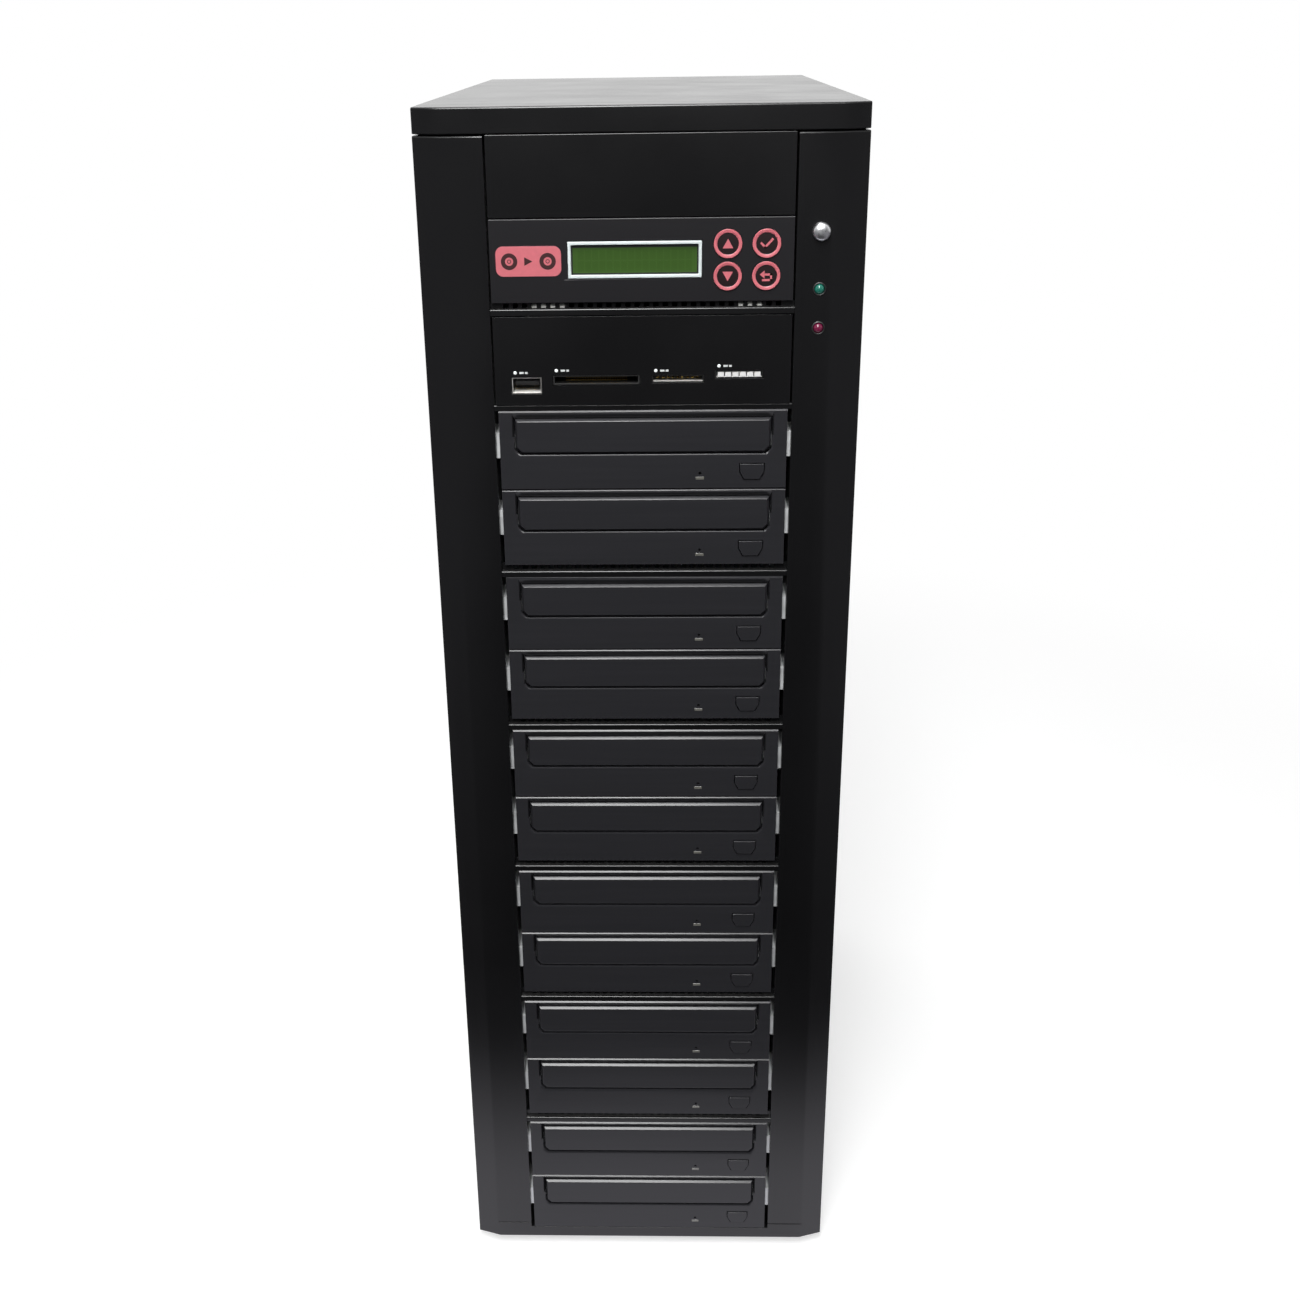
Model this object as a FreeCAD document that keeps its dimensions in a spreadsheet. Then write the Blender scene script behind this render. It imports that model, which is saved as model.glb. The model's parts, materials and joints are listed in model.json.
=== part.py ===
import FreeCAD, Part
import os
import re
import Sketcher

# Disc duplicator tower, in millimetres.
# +X is to the right seen from the front, the front faces -Y and +Z is up.
# The origin is on the floor, under the middle of the tower.

V = FreeCAD.Vector
doc = FreeCAD.newDocument("duplicator_tower")

SIZES = {
    # Steel case
    "steel": 1.2, "flange_height": 14, "rear_return": 13, "pillar_width": 34.4, "wiring_room": 51.6,
    "foot_height": 7, "foot_radius": 12, "foot_inset_side": 26, "foot_inset_end": 42,
    # Plastic front
    "front_depth": 24, "front_wall": 2.6, "bevel_width": 14, "bevel_depth": 4.6, "opening_gap": 2.1,
    "sill_height": 7.4, "sill_gap": 0.35, "cap_height": 12.3, "cap_wall": 3, "seam": 0.5, "cap_seam": 0.8,
    "plinth_height": 10.5, "groove": 0.6, "panel_thickness": 3, "panel_overlap": 1,
    "arm_depth": 16, "arm_thickness": 1.5, "arm_height": 20,
    # Optical drives, sized from the disc outwards and seated in pairs
    "disc_radius": 61, "disc_depth": 3, "small_disc_radius": 41, "small_disc_depth": 0.9, "disc_margin": 7,
    "slot_width": 36, "tray_rim": 3, "tray_tail": 17, "tray_height": 8, "rail_lip": 3.5,
    "rail_thickness": 1.5, "rail_gap": 0.25, "hub_radius": 15, "hub_height": 6,
    "door_overlap": 2, "door_height": 18.5, "door_top_drop": 4.3, "door_thickness": 5, "door_bevel": 1.3,
    "door_bevel_depth": 1.6, "door_corner": 3, "door_gap": 0.4, "door_margin": 8, "rim_height": 0.9,
    "groove_depth": 2, "lip_height": 1.3, "lip_depth": 0.45,
    "drive_height": 41.3, "drive_gap": 0.6, "pair_gap": 7.3, "face_thickness": 6,
    "shell_inset": 1, "shell_wall": 1.5, "shell_gap": 0.3, "shell_room": 14,
    "eject_inset": 17.6, "eject_top_drop": 28.5, "eject_width": 12.4, "eject_foot_width": 8,
    "eject_height": 8, "eject_proud": 0.7, "eject_gap": 0.45,
    "lamp_inset": 44.5, "lamp_drop": 36, "lamp_width": 4.4, "lamp_height": 1.6, "lamp_proud": 0.1,
    "pinhole_radius": 0.75, "pinhole_rise": 2.6,
    # Drive cage and vented filler strips
    "cage_thickness": 1, "cage_gap": 0.2, "cage_tail": 30, "tab_clearance": 0.1, "tab_top_drop": 12,
    "tab_height": 13.3, "tab_front": 3, "tab_length": 20,
    "strip_lip_height": 3.2, "strip_lip_front": 0.8, "strip_face_front": 3, "strip_back": 4.4,
    "strip_gap": 0.1, "slot_pitch": 4.7, "vent_width": 2.7, "vent_height": 2.4, "ledge_height": 3.15,
    "vent_strip_height": 6.1,
    # Controller
    "controller_height": 40.4, "blank_height": 38.8,
    "screen_x": -3.3, "screen_rise": 20.5, "screen_width": 62.9, "screen_height": 14.5, "screen_rim": 1.6,
    "screen_proud": 0.4, "screen_depth": 1.4, "screen_thickness": 4,
    "pad_offset": 22.25, "pad_rise": 19.9, "pad_radius": 7, "pad_clear_across": 5, "pad_clear_up": 1.6,
    "pad_gap": 0.2, "pad_proud": 0.8, "pad_depth": 4.2, "stem_radius": 1.8, "stem_length": 3.8,
    "board_space": 9, "board_thickness": 1.6, "board_margin": 3, "board_side_margin": 6,
    "post_radius": 2.5, "switch_side": 6, "switch_height": 2.7,
    # Card reader
    "reader_height": 44.8, "socket_depth": 14, "socket_gap": 0.2, "socket_sink": 0.6, "dot_radius": 0.9,
    "dot_rise": 2.5, "reader_board_length": 60, "tongue": 2,
    "usb_x": -58.9, "usb_rise": 10.1, "usb_width": 15, "usb_height": 8.2, "usb_wall": 0.5,
    "flash_x": -23.4, "flash_rise": 12.7, "flash_width": 44, "flash_height": 5, "flash_wall": 0.8,
    "sd_x": 18, "sd_rise": 13, "sd_width": 26, "sd_height": 3.6, "sd_wall": 0.5,
    "stick_x": 49, "stick_rise": 15, "stick_width": 24, "stick_height": 3.8, "stick_wall": 0.5,
    # Power button and lamps on the right pillar, above the foot of the reader
    "power_inset": 11.9, "power_rise": 84.9, "power_radius": 4.5, "power_gap": 0.08, "power_proud": 3.4,
    "power_dome": 1.2, "power_length": 8, "boss_wall": 2, "boss_length": 10, "switch_body_length": 12,
    "green_rise": 57.2, "red_rise": 38, "led_radius": 2.5, "led_proud": 1.4, "led_length": 7, "led_gap": 0.1,
    # Fans and power supply at the back
    "fan_size": 80, "fan_depth": 25, "fan_rim": 2.5, "fan_hub": 17, "fan_mount": 15, "fan_mount_depth": 4,
    "fan_strut": 4, "fan_pin": 1.5, "fan_pin_gap": 0.05, "fan_screw_inset": 4.25, "tip_gap": 1.5,
    "rotor_depth": 17, "rotor_gap": 1, "blade_chord": 20, "blade_thickness": 1.3,
    "upper_fan_drop": 170, "lower_fan_drop": 410, "ring_start": 9, "ring_step": 9, "ring_width": 6,
    "spoke_width": 4,
    "supply_width": 150, "supply_length": 140, "supply_drop": 91, "supply_margin": 4,
    "supply_screw_inset": 6, "supply_fan_margin": 3.8, "supply_fan_clearance": 1.8,
    "inlet_inset": 28, "inlet_rise": 17, "inlet_width": 27.4, "inlet_height": 19.8, "inlet_depth": 19,
    "inlet_wall": 1.6, "inlet_flange": 2.4, "inlet_lip": 1.8, "inlet_gap": 0.4,
    "prong_width": 2, "prong_height": 5.5, "prong_length": 15, "prong_spacing": 7, "prong_step": 4,
    "rocker_drop": 20, "rocker_width": 11, "rocker_height": 17, "rocker_depth": 7, "rocker_gap": 0.4,
    "rocker_proud": 2, "rocker_frame": 2, "rocker_frame_depth": 10, "rocker_sink": 2.6,
    # Screws
    "head_radius": 3, "head_height": 1.8, "shank_radius": 1.5, "shank_gap": 0.05,
    "thumb_radius": 5.5, "thumb_height": 3.4, "thumb_margin": 60,
    "drive_screw_front": 46, "drive_screw_pitch": 79, "drive_screw_rise": 10,
}
BLADE_COUNT = 7
BLADE_PITCH_DEGREES = 38
ROCKER_TILT_DEGREES = 8
PAIR_COUNT = 6
RING_COUNT = 3
THUMB_SCREWS_PER_SIDE = 4

sheet = doc.addObject("Spreadsheet::Sheet", "Sizes")
for row, (name, value) in enumerate(SIZES.items(), start=1):
    sheet.set(f"A{row}", name)
    sheet.set(f"B{row}", str(value))
    sheet.setAlias(f"B{row}", name)
doc.recompute()

# Widths, from the disc outwards
TRAY = "(2 * disc_radius + 2 * tray_rim)"
DOOR = f"({TRAY} + 2 * door_overlap)"
DRIVE = f"({DOOR} + 2 * door_margin)"
SHELL = f"({DRIVE} - 2 * shell_inset)"
PANEL = f"({DRIVE} + 2 * panel_overlap)"
OPENING = f"({DRIVE} + 2 * opening_gap)"
HALF = f"({OPENING} / 2 + pillar_width)"

# Lengths, from the front of the pillars backwards
TRAY_LENGTH = "(2 * disc_radius + disc_margin + tray_tail)"
SHELL_LENGTH = f"({TRAY_LENGTH} + shell_room)"
CAGE_END = f"(face_thickness + {SHELL_LENGTH} + cage_tail)"
BACK = f"(({CAGE_END} + wiring_room + supply_length + 2 * steel) / 2)"
SHEET_FACE = f"({BACK} - 2 * steel)"

# Heights above the underside of the case
PITCH = "(drive_height + drive_gap)"
PAIR_PITCH = f"({PITCH} + drive_height + pair_gap)"
READER = f"(sill_height + sill_gap + {PAIR_COUNT} * {PAIR_PITCH} - pair_gap + ledge_height)"
VENT = f"({READER} + reader_height + seam)"
CONTROLLER = f"({VENT} + vent_strip_height + seam)"
BLANK = f"({CONTROLLER} + controller_height + seam)"
CAP = f"({BLANK} + blank_height + seam)"
TOP = f"({CAP} + cap_height)"

SIZE_NAME = re.compile(rf"\b({'|'.join(SIZES)})\b")


def linked(text):
    """The expression with every size name pointing into the sheet."""
    return SIZE_NAME.sub(r"Sizes.\1", text)


def behind(distance):
    """Y of a plane that lies this far behind the front of the plastic pillars."""
    return f"({distance} - {BACK})"


def above(height):
    """Z of a plane that lies this far above the underside of the case."""
    return f"({height} + foot_height)"


def about(middle, size):
    """The two ends of a size that is centred on a place."""
    return f"({middle} - ({size}) / 2)", f"({middle} + ({size}) / 2)"


def mirrored(side, ends):
    """Two ends on the right of the tower, or their mirror image on the left."""
    near, far = ends
    return (f"({near})", f"({far})") if side > 0 else (f"(-({far}))", f"(-({near}))")


def bind(piece, **sizes):
    for name, text in sizes.items():
        piece.setExpression(name, linked(text))
    return piece


def place(piece, x_place, y_place, z_place):
    for axis, text in zip("xyz", (x_place, y_place, z_place)):
        piece.setExpression(f"Placement.Base.{axis}", linked(text))
    return piece


def box(name, x_ends, y_ends, z_ends):
    piece = doc.addObject("Part::Box", name)
    length, width, height = (f"({high}) - ({low})" for low, high in (x_ends, y_ends, z_ends))
    bind(piece, Length=length, Width=width, Height=height)
    return place(piece, x_ends[0], y_ends[0], z_ends[0])


TURNS = {"X": FreeCAD.Rotation(V(0, 1, 0), 90), "-X": FreeCAD.Rotation(V(0, 1, 0), -90),
         "Y": FreeCAD.Rotation(V(1, 0, 0), -90), "Z": FreeCAD.Rotation()}


def rod(name, radius, length, along, start):
    """A round bar that starts at a point and runs along one axis."""
    piece = doc.addObject("Part::Cylinder", name)
    bind(piece, Radius=radius, Height=length)
    piece.Placement.Rotation = TURNS[along]
    return place(piece, *start)


def taper(name, front, back, y_ends):
    """A block from one upright rectangle, given as its X and Z ends, to another behind it."""
    piece = doc.addObject("Part::Wedge", name)
    bind(piece, Xmin=front[0][0], Xmax=front[0][1], Zmin=front[1][0], Zmax=front[1][1], Ymin=y_ends[0],
         X2min=back[0][0], X2max=back[0][1], Z2min=back[1][0], Z2max=back[1][1], Ymax=y_ends[1])
    return piece


def join(name, pieces):
    whole = doc.addObject("Part::MultiFuse", name)
    whole.Shapes = pieces
    return whole


def group(name, pieces):
    whole = doc.addObject("Part::Compound", name)
    whole.Links = pieces
    return whole


def cut(name, base, tools):
    whole = doc.addObject("Part::Cut", name)
    whole.Base = base
    whole.Tool = tools[0] if len(tools) == 1 else group(f"{name}_tools", tools)
    return whole


def outline(body, plane_role, loops, offset):
    """A sketch of closed straight-sided loops on one of the body's own planes."""
    sketch = body.newObject("Sketcher::SketchObject", f"{body.Name}_outline")
    plane = [item for item in body.Origin.OriginFeatures if item.Role == plane_role][0]
    sketch.AttachmentSupport = [(plane, "")]
    sketch.MapMode = "FlatFace"
    sketch.setExpression("AttachmentOffset.Base.z", linked(offset))
    for loop in loops:
        first = sketch.GeometryCount
        count = len(loop)
        sides = [Part.LineSegment(V(i, 0, 0), V(i + 1, 0, 0)) for i in range(count)]
        sketch.addGeometry(sides, False)
        for i in range(count):
            following = first + (i + 1) % count
            sketch.addConstraint(Sketcher.Constraint("Coincident", first + i, 2, following, 1))
        for i, point in enumerate(loop):
            for kind, text in zip(("DistanceX", "DistanceY"), point):
                number = sketch.addConstraint(Sketcher.Constraint(kind, -1, 1, first + i, 1, float(i)))
                sketch.setExpression(f"Constraints[{number}]", linked(text))
    return sketch


def pad(name, plane_role, loops, offset, length, reverse):
    body = doc.addObject("PartDesign::Body", name)
    solid = body.newObject("PartDesign::Pad", f"{name}_pad")
    solid.Profile = outline(body, plane_role, loops, offset)
    solid.Reversed = reverse
    solid.setExpression("Length", linked(length))
    return body


def front_pad(name, loops, y_start, length):
    """Upright loops, given as X and Z points, padded towards the back."""
    return pad(name, "XZ_Plane", loops, f"-({y_start})", length, True)


def plan_pad(name, loop, z_start, length):
    """A level loop, given as X and Y points, padded upwards."""
    return pad(name, "XY_Plane", [loop], z_start, length, False)


def rectangle(x_ends, z_ends):
    return [(x_ends[0], z_ends[0]), (x_ends[1], z_ends[0]), (x_ends[1], z_ends[1]), (x_ends[0], z_ends[1])]


nodes = []


def node(piece, label):
    """Marks a finished sub-part and names the node and file that it becomes."""
    piece.Label = label
    nodes.append(piece)


SIDES = (("left", -1), ("right", 1))
FRONT = behind("0")
WHOLE_WIDTH = (f"-{HALF}", HALF)
INNER_WIDTH = (f"-{HALF} + steel", f"{HALF} - steel")
FLANGE = (f"{HALF} - 2 * steel", f"{HALF} - steel")
CASE_LENGTH = (behind("front_depth"), f"{BACK} - 2 * steel")
SUPPLY_Z = above(f"({TOP} - supply_drop)")
SUPPLY_HEIGHT = "(fan_size + 2 * supply_fan_clearance + 2 * steel)"
SUPPLY_FAN_X = "(steel + supply_fan_margin + fan_size / 2 - supply_width / 2)"
FAN_HEIGHTS = {"upper": above(f"({TOP} - supply_drop - upper_fan_drop)"),
               "lower": above(f"({TOP} - supply_drop - lower_fan_drop)")}
SCREW_HOLE = "shank_radius + shank_gap"


# Steel case
def base_pan():
    floor = box("pan_floor", INNER_WIDTH, (behind("front_depth"), f"{BACK} - steel"),
                (above("0"), above("steel")))
    flanges = [box(f"pan_flange_{name}", mirrored(side, FLANGE), CASE_LENGTH,
                   (above("steel"), above("flange_height"))) for name, side in SIDES]
    node(join("pan", [floor] + flanges), "base_pan")


def top_cover():
    plate = box("lid_plate", WHOLE_WIDTH, (behind("front_depth"), BACK),
                (above(f"{TOP} - steel"), above(TOP)))
    flanges = [box(f"lid_flange_{name}", mirrored(side, FLANGE), CASE_LENGTH,
                   (above(f"{TOP} - flange_height"), above(f"{TOP} - steel"))) for name, side in SIDES]
    node(join("lid", [plate] + flanges), "top_cover")


def thumb_screw_places(side):
    """The screws that hold a side panel's rear return, spread evenly up the case."""
    last = THUMB_SCREWS_PER_SIDE - 1
    x_place = f"({HALF} - rear_return / 2) * {side}"
    return [(x_place, above(f"thumb_margin + ({TOP} - 2 * thumb_margin) * {step} / {last}"))
            for step in range(THUMB_SCREWS_PER_SIDE)]


def side_panel(name, side):
    """A side panel with the return that laps over the back panel."""
    plan = [(HALF, behind("front_depth")), (HALF, BACK), (f"{HALF} - rear_return", BACK),
            (f"{HALF} - rear_return", f"{BACK} - steel"), (f"{HALF} - steel", f"{BACK} - steel"),
            (f"{HALF} - steel", behind("front_depth"))]
    plate = plan_pad(f"side_{name}", [(f"({across}) * {side}", back) for across, back in plan], above("0"),
                     f"{TOP} - steel")
    holes = [rod(f"side_hole_{name}_{i}", SCREW_HOLE, "steel", "Y", (x_place, f"{BACK} - steel", z_place))
             for i, (x_place, z_place) in enumerate(thumb_screw_places(side))]
    node(cut(f"side_drilled_{name}", plate, holes), f"side_panel_{name}")


def fan_grille(name, x_middle, z_middle, y_start):
    """The ring slots that are punched in a sheet in front of a fan, as one cutting tool."""
    start = (x_middle, y_start, z_middle)
    rings = []
    for i in range(RING_COUNT):
        inner = f"ring_start + {i} * ring_step"
        disc = rod(f"{name}_disc_{i}", f"{inner} + ring_width", "steel", "Y", start)
        rings.append(cut(f"{name}_ring_{i}", disc, [rod(f"{name}_core_{i}", inner, "steel", "Y", start)]))
    sheet_ends = (y_start, f"{y_start} + steel")
    level = (about(x_middle, "fan_size"), sheet_ends, about(z_middle, "spoke_width"))
    upright = (about(x_middle, "spoke_width"), sheet_ends, about(z_middle, "fan_size"))
    spokes = [box(f"{name}_spoke_level", *level), box(f"{name}_spoke_upright", *upright)]
    return cut(name, group(f"{name}_rings", rings), spokes)


def corner_places(x_middle, x_reach, z_middle, z_reach):
    return [(f"{x_middle} + ({x_reach}) * {x_side}", f"{z_middle} + ({z_reach}) * {z_side}")
            for x_side in (-1, 1) for z_side in (-1, 1)]


def sheet_screw_places():
    """The screws of both case fans and of the power supply, in the back panel."""
    reach = "fan_size / 2 - fan_screw_inset"
    places = [spot for height in FAN_HEIGHTS.values() for spot in corner_places("0", reach, height, reach)]
    return places + corner_places("0", "supply_width / 2 - supply_screw_inset", SUPPLY_Z,
                                  f"{SUPPLY_HEIGHT} / 2 - supply_screw_inset")


def back_panel():
    window = rectangle(about("0", "supply_width - 2 * supply_margin - 2 * supply_screw_inset"),
                       about(SUPPLY_Z, f"{SUPPLY_HEIGHT} - 2 * supply_margin"))
    whole = rectangle(INNER_WIDTH, (above("steel"), above(f"{TOP} - steel")))
    plate = front_pad("rear_plate", [whole, window], SHEET_FACE, "steel")
    tools = [fan_grille(f"{name}_grille", "0", height, SHEET_FACE) for name, height in FAN_HEIGHTS.items()]
    places = sheet_screw_places() + thumb_screw_places(-1) + thumb_screw_places(1)
    tools += [rod(f"rear_hole_{i}", SCREW_HOLE, "steel", "Y", (x_place, SHEET_FACE, z_place))
              for i, (x_place, z_place) in enumerate(places)]
    node(cut("rear_cut", plate, tools), "back_panel")


# Plastic front
POWER_X = f"({OPENING} / 2 + power_inset)"
POWER_Z = above(f"({READER} + power_rise)")
LAMP_HEIGHTS = (("green_lamp", above(f"({READER} + green_rise)")),
                ("red_lamp", above(f"({READER} + red_rise)")))


def pillar_plan(side):
    """A pillar in plan: a channel open at the back, with its outer front corner bevelled."""
    inner = f"{OPENING} / 2"
    points = [(inner, "front_depth"), (inner, "0"), (f"{HALF} - bevel_width", "0"), (HALF, "bevel_depth"),
              (HALF, "front_depth"), (f"{HALF} - front_wall", "front_depth"),
              (f"{HALF} - front_wall", "bevel_depth + front_wall / 2"),
              (f"{HALF} - bevel_width - front_wall / 2", "front_wall"),
              (f"{inner} + front_wall", "front_wall"), (f"{inner} + front_wall", "front_depth")]
    return [(f"({across}) * {side}", behind(back)) for across, back in points]


def front_plan(inset):
    """The whole front in plan, drawn in by an inset, with both outer front corners bevelled."""
    right = [(f"{HALF} - bevel_width - {inset} / 2", inset),
             (f"{HALF} - {inset}", f"bevel_depth + {inset} / 2"),
             (f"{HALF} - {inset}", "front_depth")]
    left = [(f"-({across})", back) for across, back in reversed(right)]
    return [(across, behind(back)) for across, back in right + left]


def front_bezel():
    pillars = [plan_pad(f"pillar_{name}", pillar_plan(side), above("0"), f"{CAP} - cap_seam")
               for name, side in SIDES]
    floor = plan_pad("front_floor", front_plan("0"), above("0"), "front_wall")
    sill = box("sill", about("0", OPENING), (FRONT, behind("front_wall")), (above("0"), above("sill_height")))
    boss = rod("power_boss", "power_radius + power_gap + boss_wall", "boss_length - front_wall / 2", "Y",
               (POWER_X, behind("front_wall / 2"), POWER_Z))
    holes = [rod("power_hole", "power_radius + power_gap", "boss_length", "Y", (POWER_X, FRONT, POWER_Z))]
    holes += [rod(f"{name}_hole", "led_radius + led_gap", "front_wall", "Y", (POWER_X, FRONT, height))
              for name, height in LAMP_HEIGHTS]
    grooves = [box(f"plinth_groove_{name}", mirrored(side, (f"{OPENING} / 2", HALF)),
                   (FRONT, behind("groove")), (above("plinth_height"), above("plinth_height + groove")))
               for name, side in SIDES]
    moulding = join("front_moulding", pillars + [floor, sill, boss])
    node(cut("front_cut", moulding, holes + grooves), "front_bezel")


def bezel_cap():
    """The moulded cap, hollow from below."""
    block = plan_pad("cap_block", front_plan("0"), above(CAP), "cap_height")
    hollow = plan_pad("cap_hollow", front_plan("cap_wall"), above(CAP), "cap_height - cap_wall")
    node(cut("cap_cut", block, [hollow]), "bezel_cap")


def clip_arms(name, z_middle):
    """Two arms that hold a bay cover between the plates of the cage."""
    length = (behind("panel_thickness"), behind("(panel_thickness + arm_depth)"))
    return [box(f"{name}_arm_{label}", mirrored(side, (f"{SHELL} / 2 - arm_thickness", f"{SHELL} / 2")),
                length, about(z_middle, "arm_height")) for label, side in SIDES]


def blank_cover():
    middle = above(f"({BLANK} + blank_height / 2)")
    face = front_pad("blank_face", [rectangle(about("0", PANEL), about(middle, "blank_height"))], FRONT,
                     "panel_thickness")
    node(join("blank_join", [face] + clip_arms("blank", middle)), "blank_cover")


# Optical drives, numbered from the top, each known by its underside
def drive_level(number):
    pair, lower = divmod(number, 2)
    return above(f"(sill_height + sill_gap + {PAIR_COUNT - 1 - pair} * {PAIR_PITCH} + {1 - lower} * {PITCH})")


DRIVES = [(f"{number + 1:02d}", drive_level(number)) for number in range(2 * PAIR_COUNT)]
DOOR_DROP = "door_top_drop + door_height"
TRAY_DROP = "door_top_drop + door_height / 2"
DISC_MIDDLE = behind("(door_thickness + disc_margin + disc_radius)")
EJECT_X = f"({DRIVE} / 2 - eject_inset)"
LAMP_X = f"({DRIVE} / 2 - lamp_inset)"


def door_outline(level, grow):
    """The door of a tray: square above, with its lower corners cut."""
    half = f"({DOOR} / 2 + {grow})"
    top = f"({level} + drive_height - door_top_drop + {grow})"
    foot = f"({level} + drive_height - ({DOOR_DROP}) - {grow})"
    return [(f"door_corner - {half}", foot), (f"{half} - door_corner", foot), (half, f"{foot} + door_corner"),
            (half, top), (f"-{half}", top), (f"-{half}", f"{foot} + door_corner")]


def eject_outline(level, grow):
    """The eject button: straight above, narrowing to its foot."""
    half = f"(eject_width / 2 + {grow})"
    foot_half = f"(eject_foot_width / 2 + {grow})"
    top = f"({level} + drive_height - eject_top_drop + {grow})"
    foot = f"({level} + drive_height - eject_top_drop - eject_height - {grow})"
    waist = f"({top} + {foot}) / 2"
    right = [(foot_half, foot), (half, waist), (half, top)]
    return ([(f"{EJECT_X} + {across}", up) for across, up in right]
            + [(f"{EJECT_X} - {across}", up) for across, up in reversed(right)])


def lamp_outline(level):
    return rectangle(about(LAMP_X, "lamp_width"), about(f"{level} + drive_height - lamp_drop", "lamp_height"))


def drive_face(name, level):
    """A drive's front: a deep groove over its door, a shallow lip round it, and its small holes."""
    top = f"({level} + drive_height)"
    whole = rectangle(about("0", DRIVE), (level, top))
    plate = front_pad(f"face_{name}", [whole, lamp_outline(level), eject_outline(level, "eject_gap")], FRONT,
                      "face_thickness")
    waist = f"{top} - ({TRAY_DROP})"
    rim = (about("0", f"{DOOR} + 2 * lip_height"), (waist, f"{top} - rim_height"))
    seat = (about("0", f"{DOOR} + 2 * door_gap"), (waist, f"{top} - door_top_drop + door_gap"))
    groove = taper(f"groove_{name}", rim, seat, (FRONT, behind("groove_depth")))
    lip = front_pad(f"lip_{name}", [door_outline(level, "lip_height")], FRONT, "lip_depth")
    bind(lip.Tip, TaperAngle="-atan((lip_height - door_gap) / lip_depth)")
    mouth = front_pad(f"mouth_{name}", [door_outline(level, "door_gap")], FRONT, "face_thickness")
    pinhole = rod(f"pinhole_{name}", "pinhole_radius", "face_thickness", "Y",
                  (LAMP_X, FRONT, f"{top} - lamp_drop + pinhole_rise"))
    return cut(f"face_cut_{name}", plate, [groove, lip, mouth, pinhole])


def drive_shell(name, level):
    """A drive's metal case, open at the front, with the rails that its tray runs on."""
    top = f"{level} + drive_height - shell_gap"
    length = (behind("face_thickness"), behind(f"(face_thickness + {SHELL_LENGTH})"))
    block = box(f"shell_block_{name}", about("0", SHELL), length, (level, top))
    hollow = box(f"shell_hollow_{name}", about("0", f"{SHELL} - 2 * shell_wall"),
                 (length[0], f"{length[1]} - shell_wall"), (f"{level} + shell_wall", f"{top} - shell_wall"))
    pieces = [cut(f"shell_case_{name}", block, [hollow])]
    tray_top = f"({level} + drive_height - ({TRAY_DROP}))"
    tray_foot = f"({tray_top} - tray_height - rail_gap)"
    rail_foot = f"{tray_foot} - rail_thickness"
    wall = f"{SHELL} / 2 - shell_wall"
    side_gap = f"{TRAY} / 2 + rail_gap"
    lip = f"{TRAY} / 2 - rail_lip"
    guide = [(wall, tray_top), (side_gap, tray_top), (side_gap, tray_foot),
             (lip, tray_foot), (lip, rail_foot), (wall, rail_foot)]
    for label, side in SIDES:
        loop = [(f"({across}) * {side}", up) for across, up in guide]
        pieces.append(front_pad(f"rail_{label}_{name}", [loop], length[0], f"{SHELL_LENGTH} - shell_wall"))
    pieces.append(rod(f"hub_{name}", "hub_radius", "hub_height", "Z",
                      ("0", DISC_MIDDLE, f"{level} + shell_wall")))
    return join(f"shell_{name}", pieces)


def tray(name, level):
    """A tray and its door, with a wide well for a full disc and a deeper one for a small disc."""
    top = f"({level} + drive_height - ({TRAY_DROP}))"
    height = (f"{top} - tray_height", top)
    end = behind(f"(door_thickness + {TRAY_LENGTH})")
    plate = box(f"tray_plate_{name}", about("0", TRAY), (behind("door_thickness"), end), height)
    depth = "(disc_depth + small_disc_depth)"
    well = rod(f"tray_well_{name}", "disc_radius", "disc_depth", "Z",
               ("0", DISC_MIDDLE, f"{top} - disc_depth"))
    small = rod(f"tray_small_{name}", "small_disc_radius", depth, "Z", ("0", DISC_MIDDLE, f"{top} - {depth}"))
    slot = box(f"tray_slot_{name}", about("0", "slot_width"),
               (f"{DISC_MIDDLE} - slot_width / 2", end), height)
    return cut(f"tray_drawer_{name}", plate, [well, small, slot])


def trays():
    """The doors are padded together, so that one recompute gives every front face its bevel."""
    doors = [front_pad(f"door_{name}", [door_outline(level, "0")], FRONT, "door_thickness")
             for name, level in DRIVES]
    doc.recompute()
    for door, (name, level) in zip(doors, DRIVES):
        slab = door.Tip
        faces = slab.Shape.Faces
        front = min(range(len(faces)), key=lambda i: faces[i].CenterOfMass.y)
        bevel = door.newObject("PartDesign::Chamfer", f"door_bevel_{name}")
        bevel.Base = (slab, [f"Face{front + 1}"])
        bevel.ChamferType = "Two distances"
        bind(bevel, Size="door_bevel_depth", Size2="door_bevel")
        node(join(f"tray_join_{name}", [tray(name, level), door]), f"tray_{name}")


def eject_buttons():
    for name, level in DRIVES:
        button = front_pad(f"eject_{name}", [eject_outline(level, "0")], behind("(-eject_proud)"),
                           "eject_proud + face_thickness")
        node(button, f"eject_button_{name}")


def drives():
    node(group("faces", [drive_face(name, level) for name, level in DRIVES]), "drive_bezels")
    node(group("shells", [drive_shell(name, level) for name, level in DRIVES]), "drive_shells")
    trays()
    eject_buttons()
    lamps = [front_pad(f"drive_lamp_{name}", [lamp_outline(level)], behind("(-lamp_proud)"),
                       "lamp_proud + face_thickness") for name, level in DRIVES]
    node(group("lamps", lamps), "drive_lamps")


# Drive cage and vented strips
CAGE_INNER = f"({SHELL} / 2 + cage_gap)"
CAGE_OUTER = f"({CAGE_INNER} + cage_thickness)"


def cage_screw_places(level):
    return [(behind(f"(drive_screw_front + {step} * drive_screw_pitch)"), f"{level} + drive_screw_rise")
            for step in (0, 1)]


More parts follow.
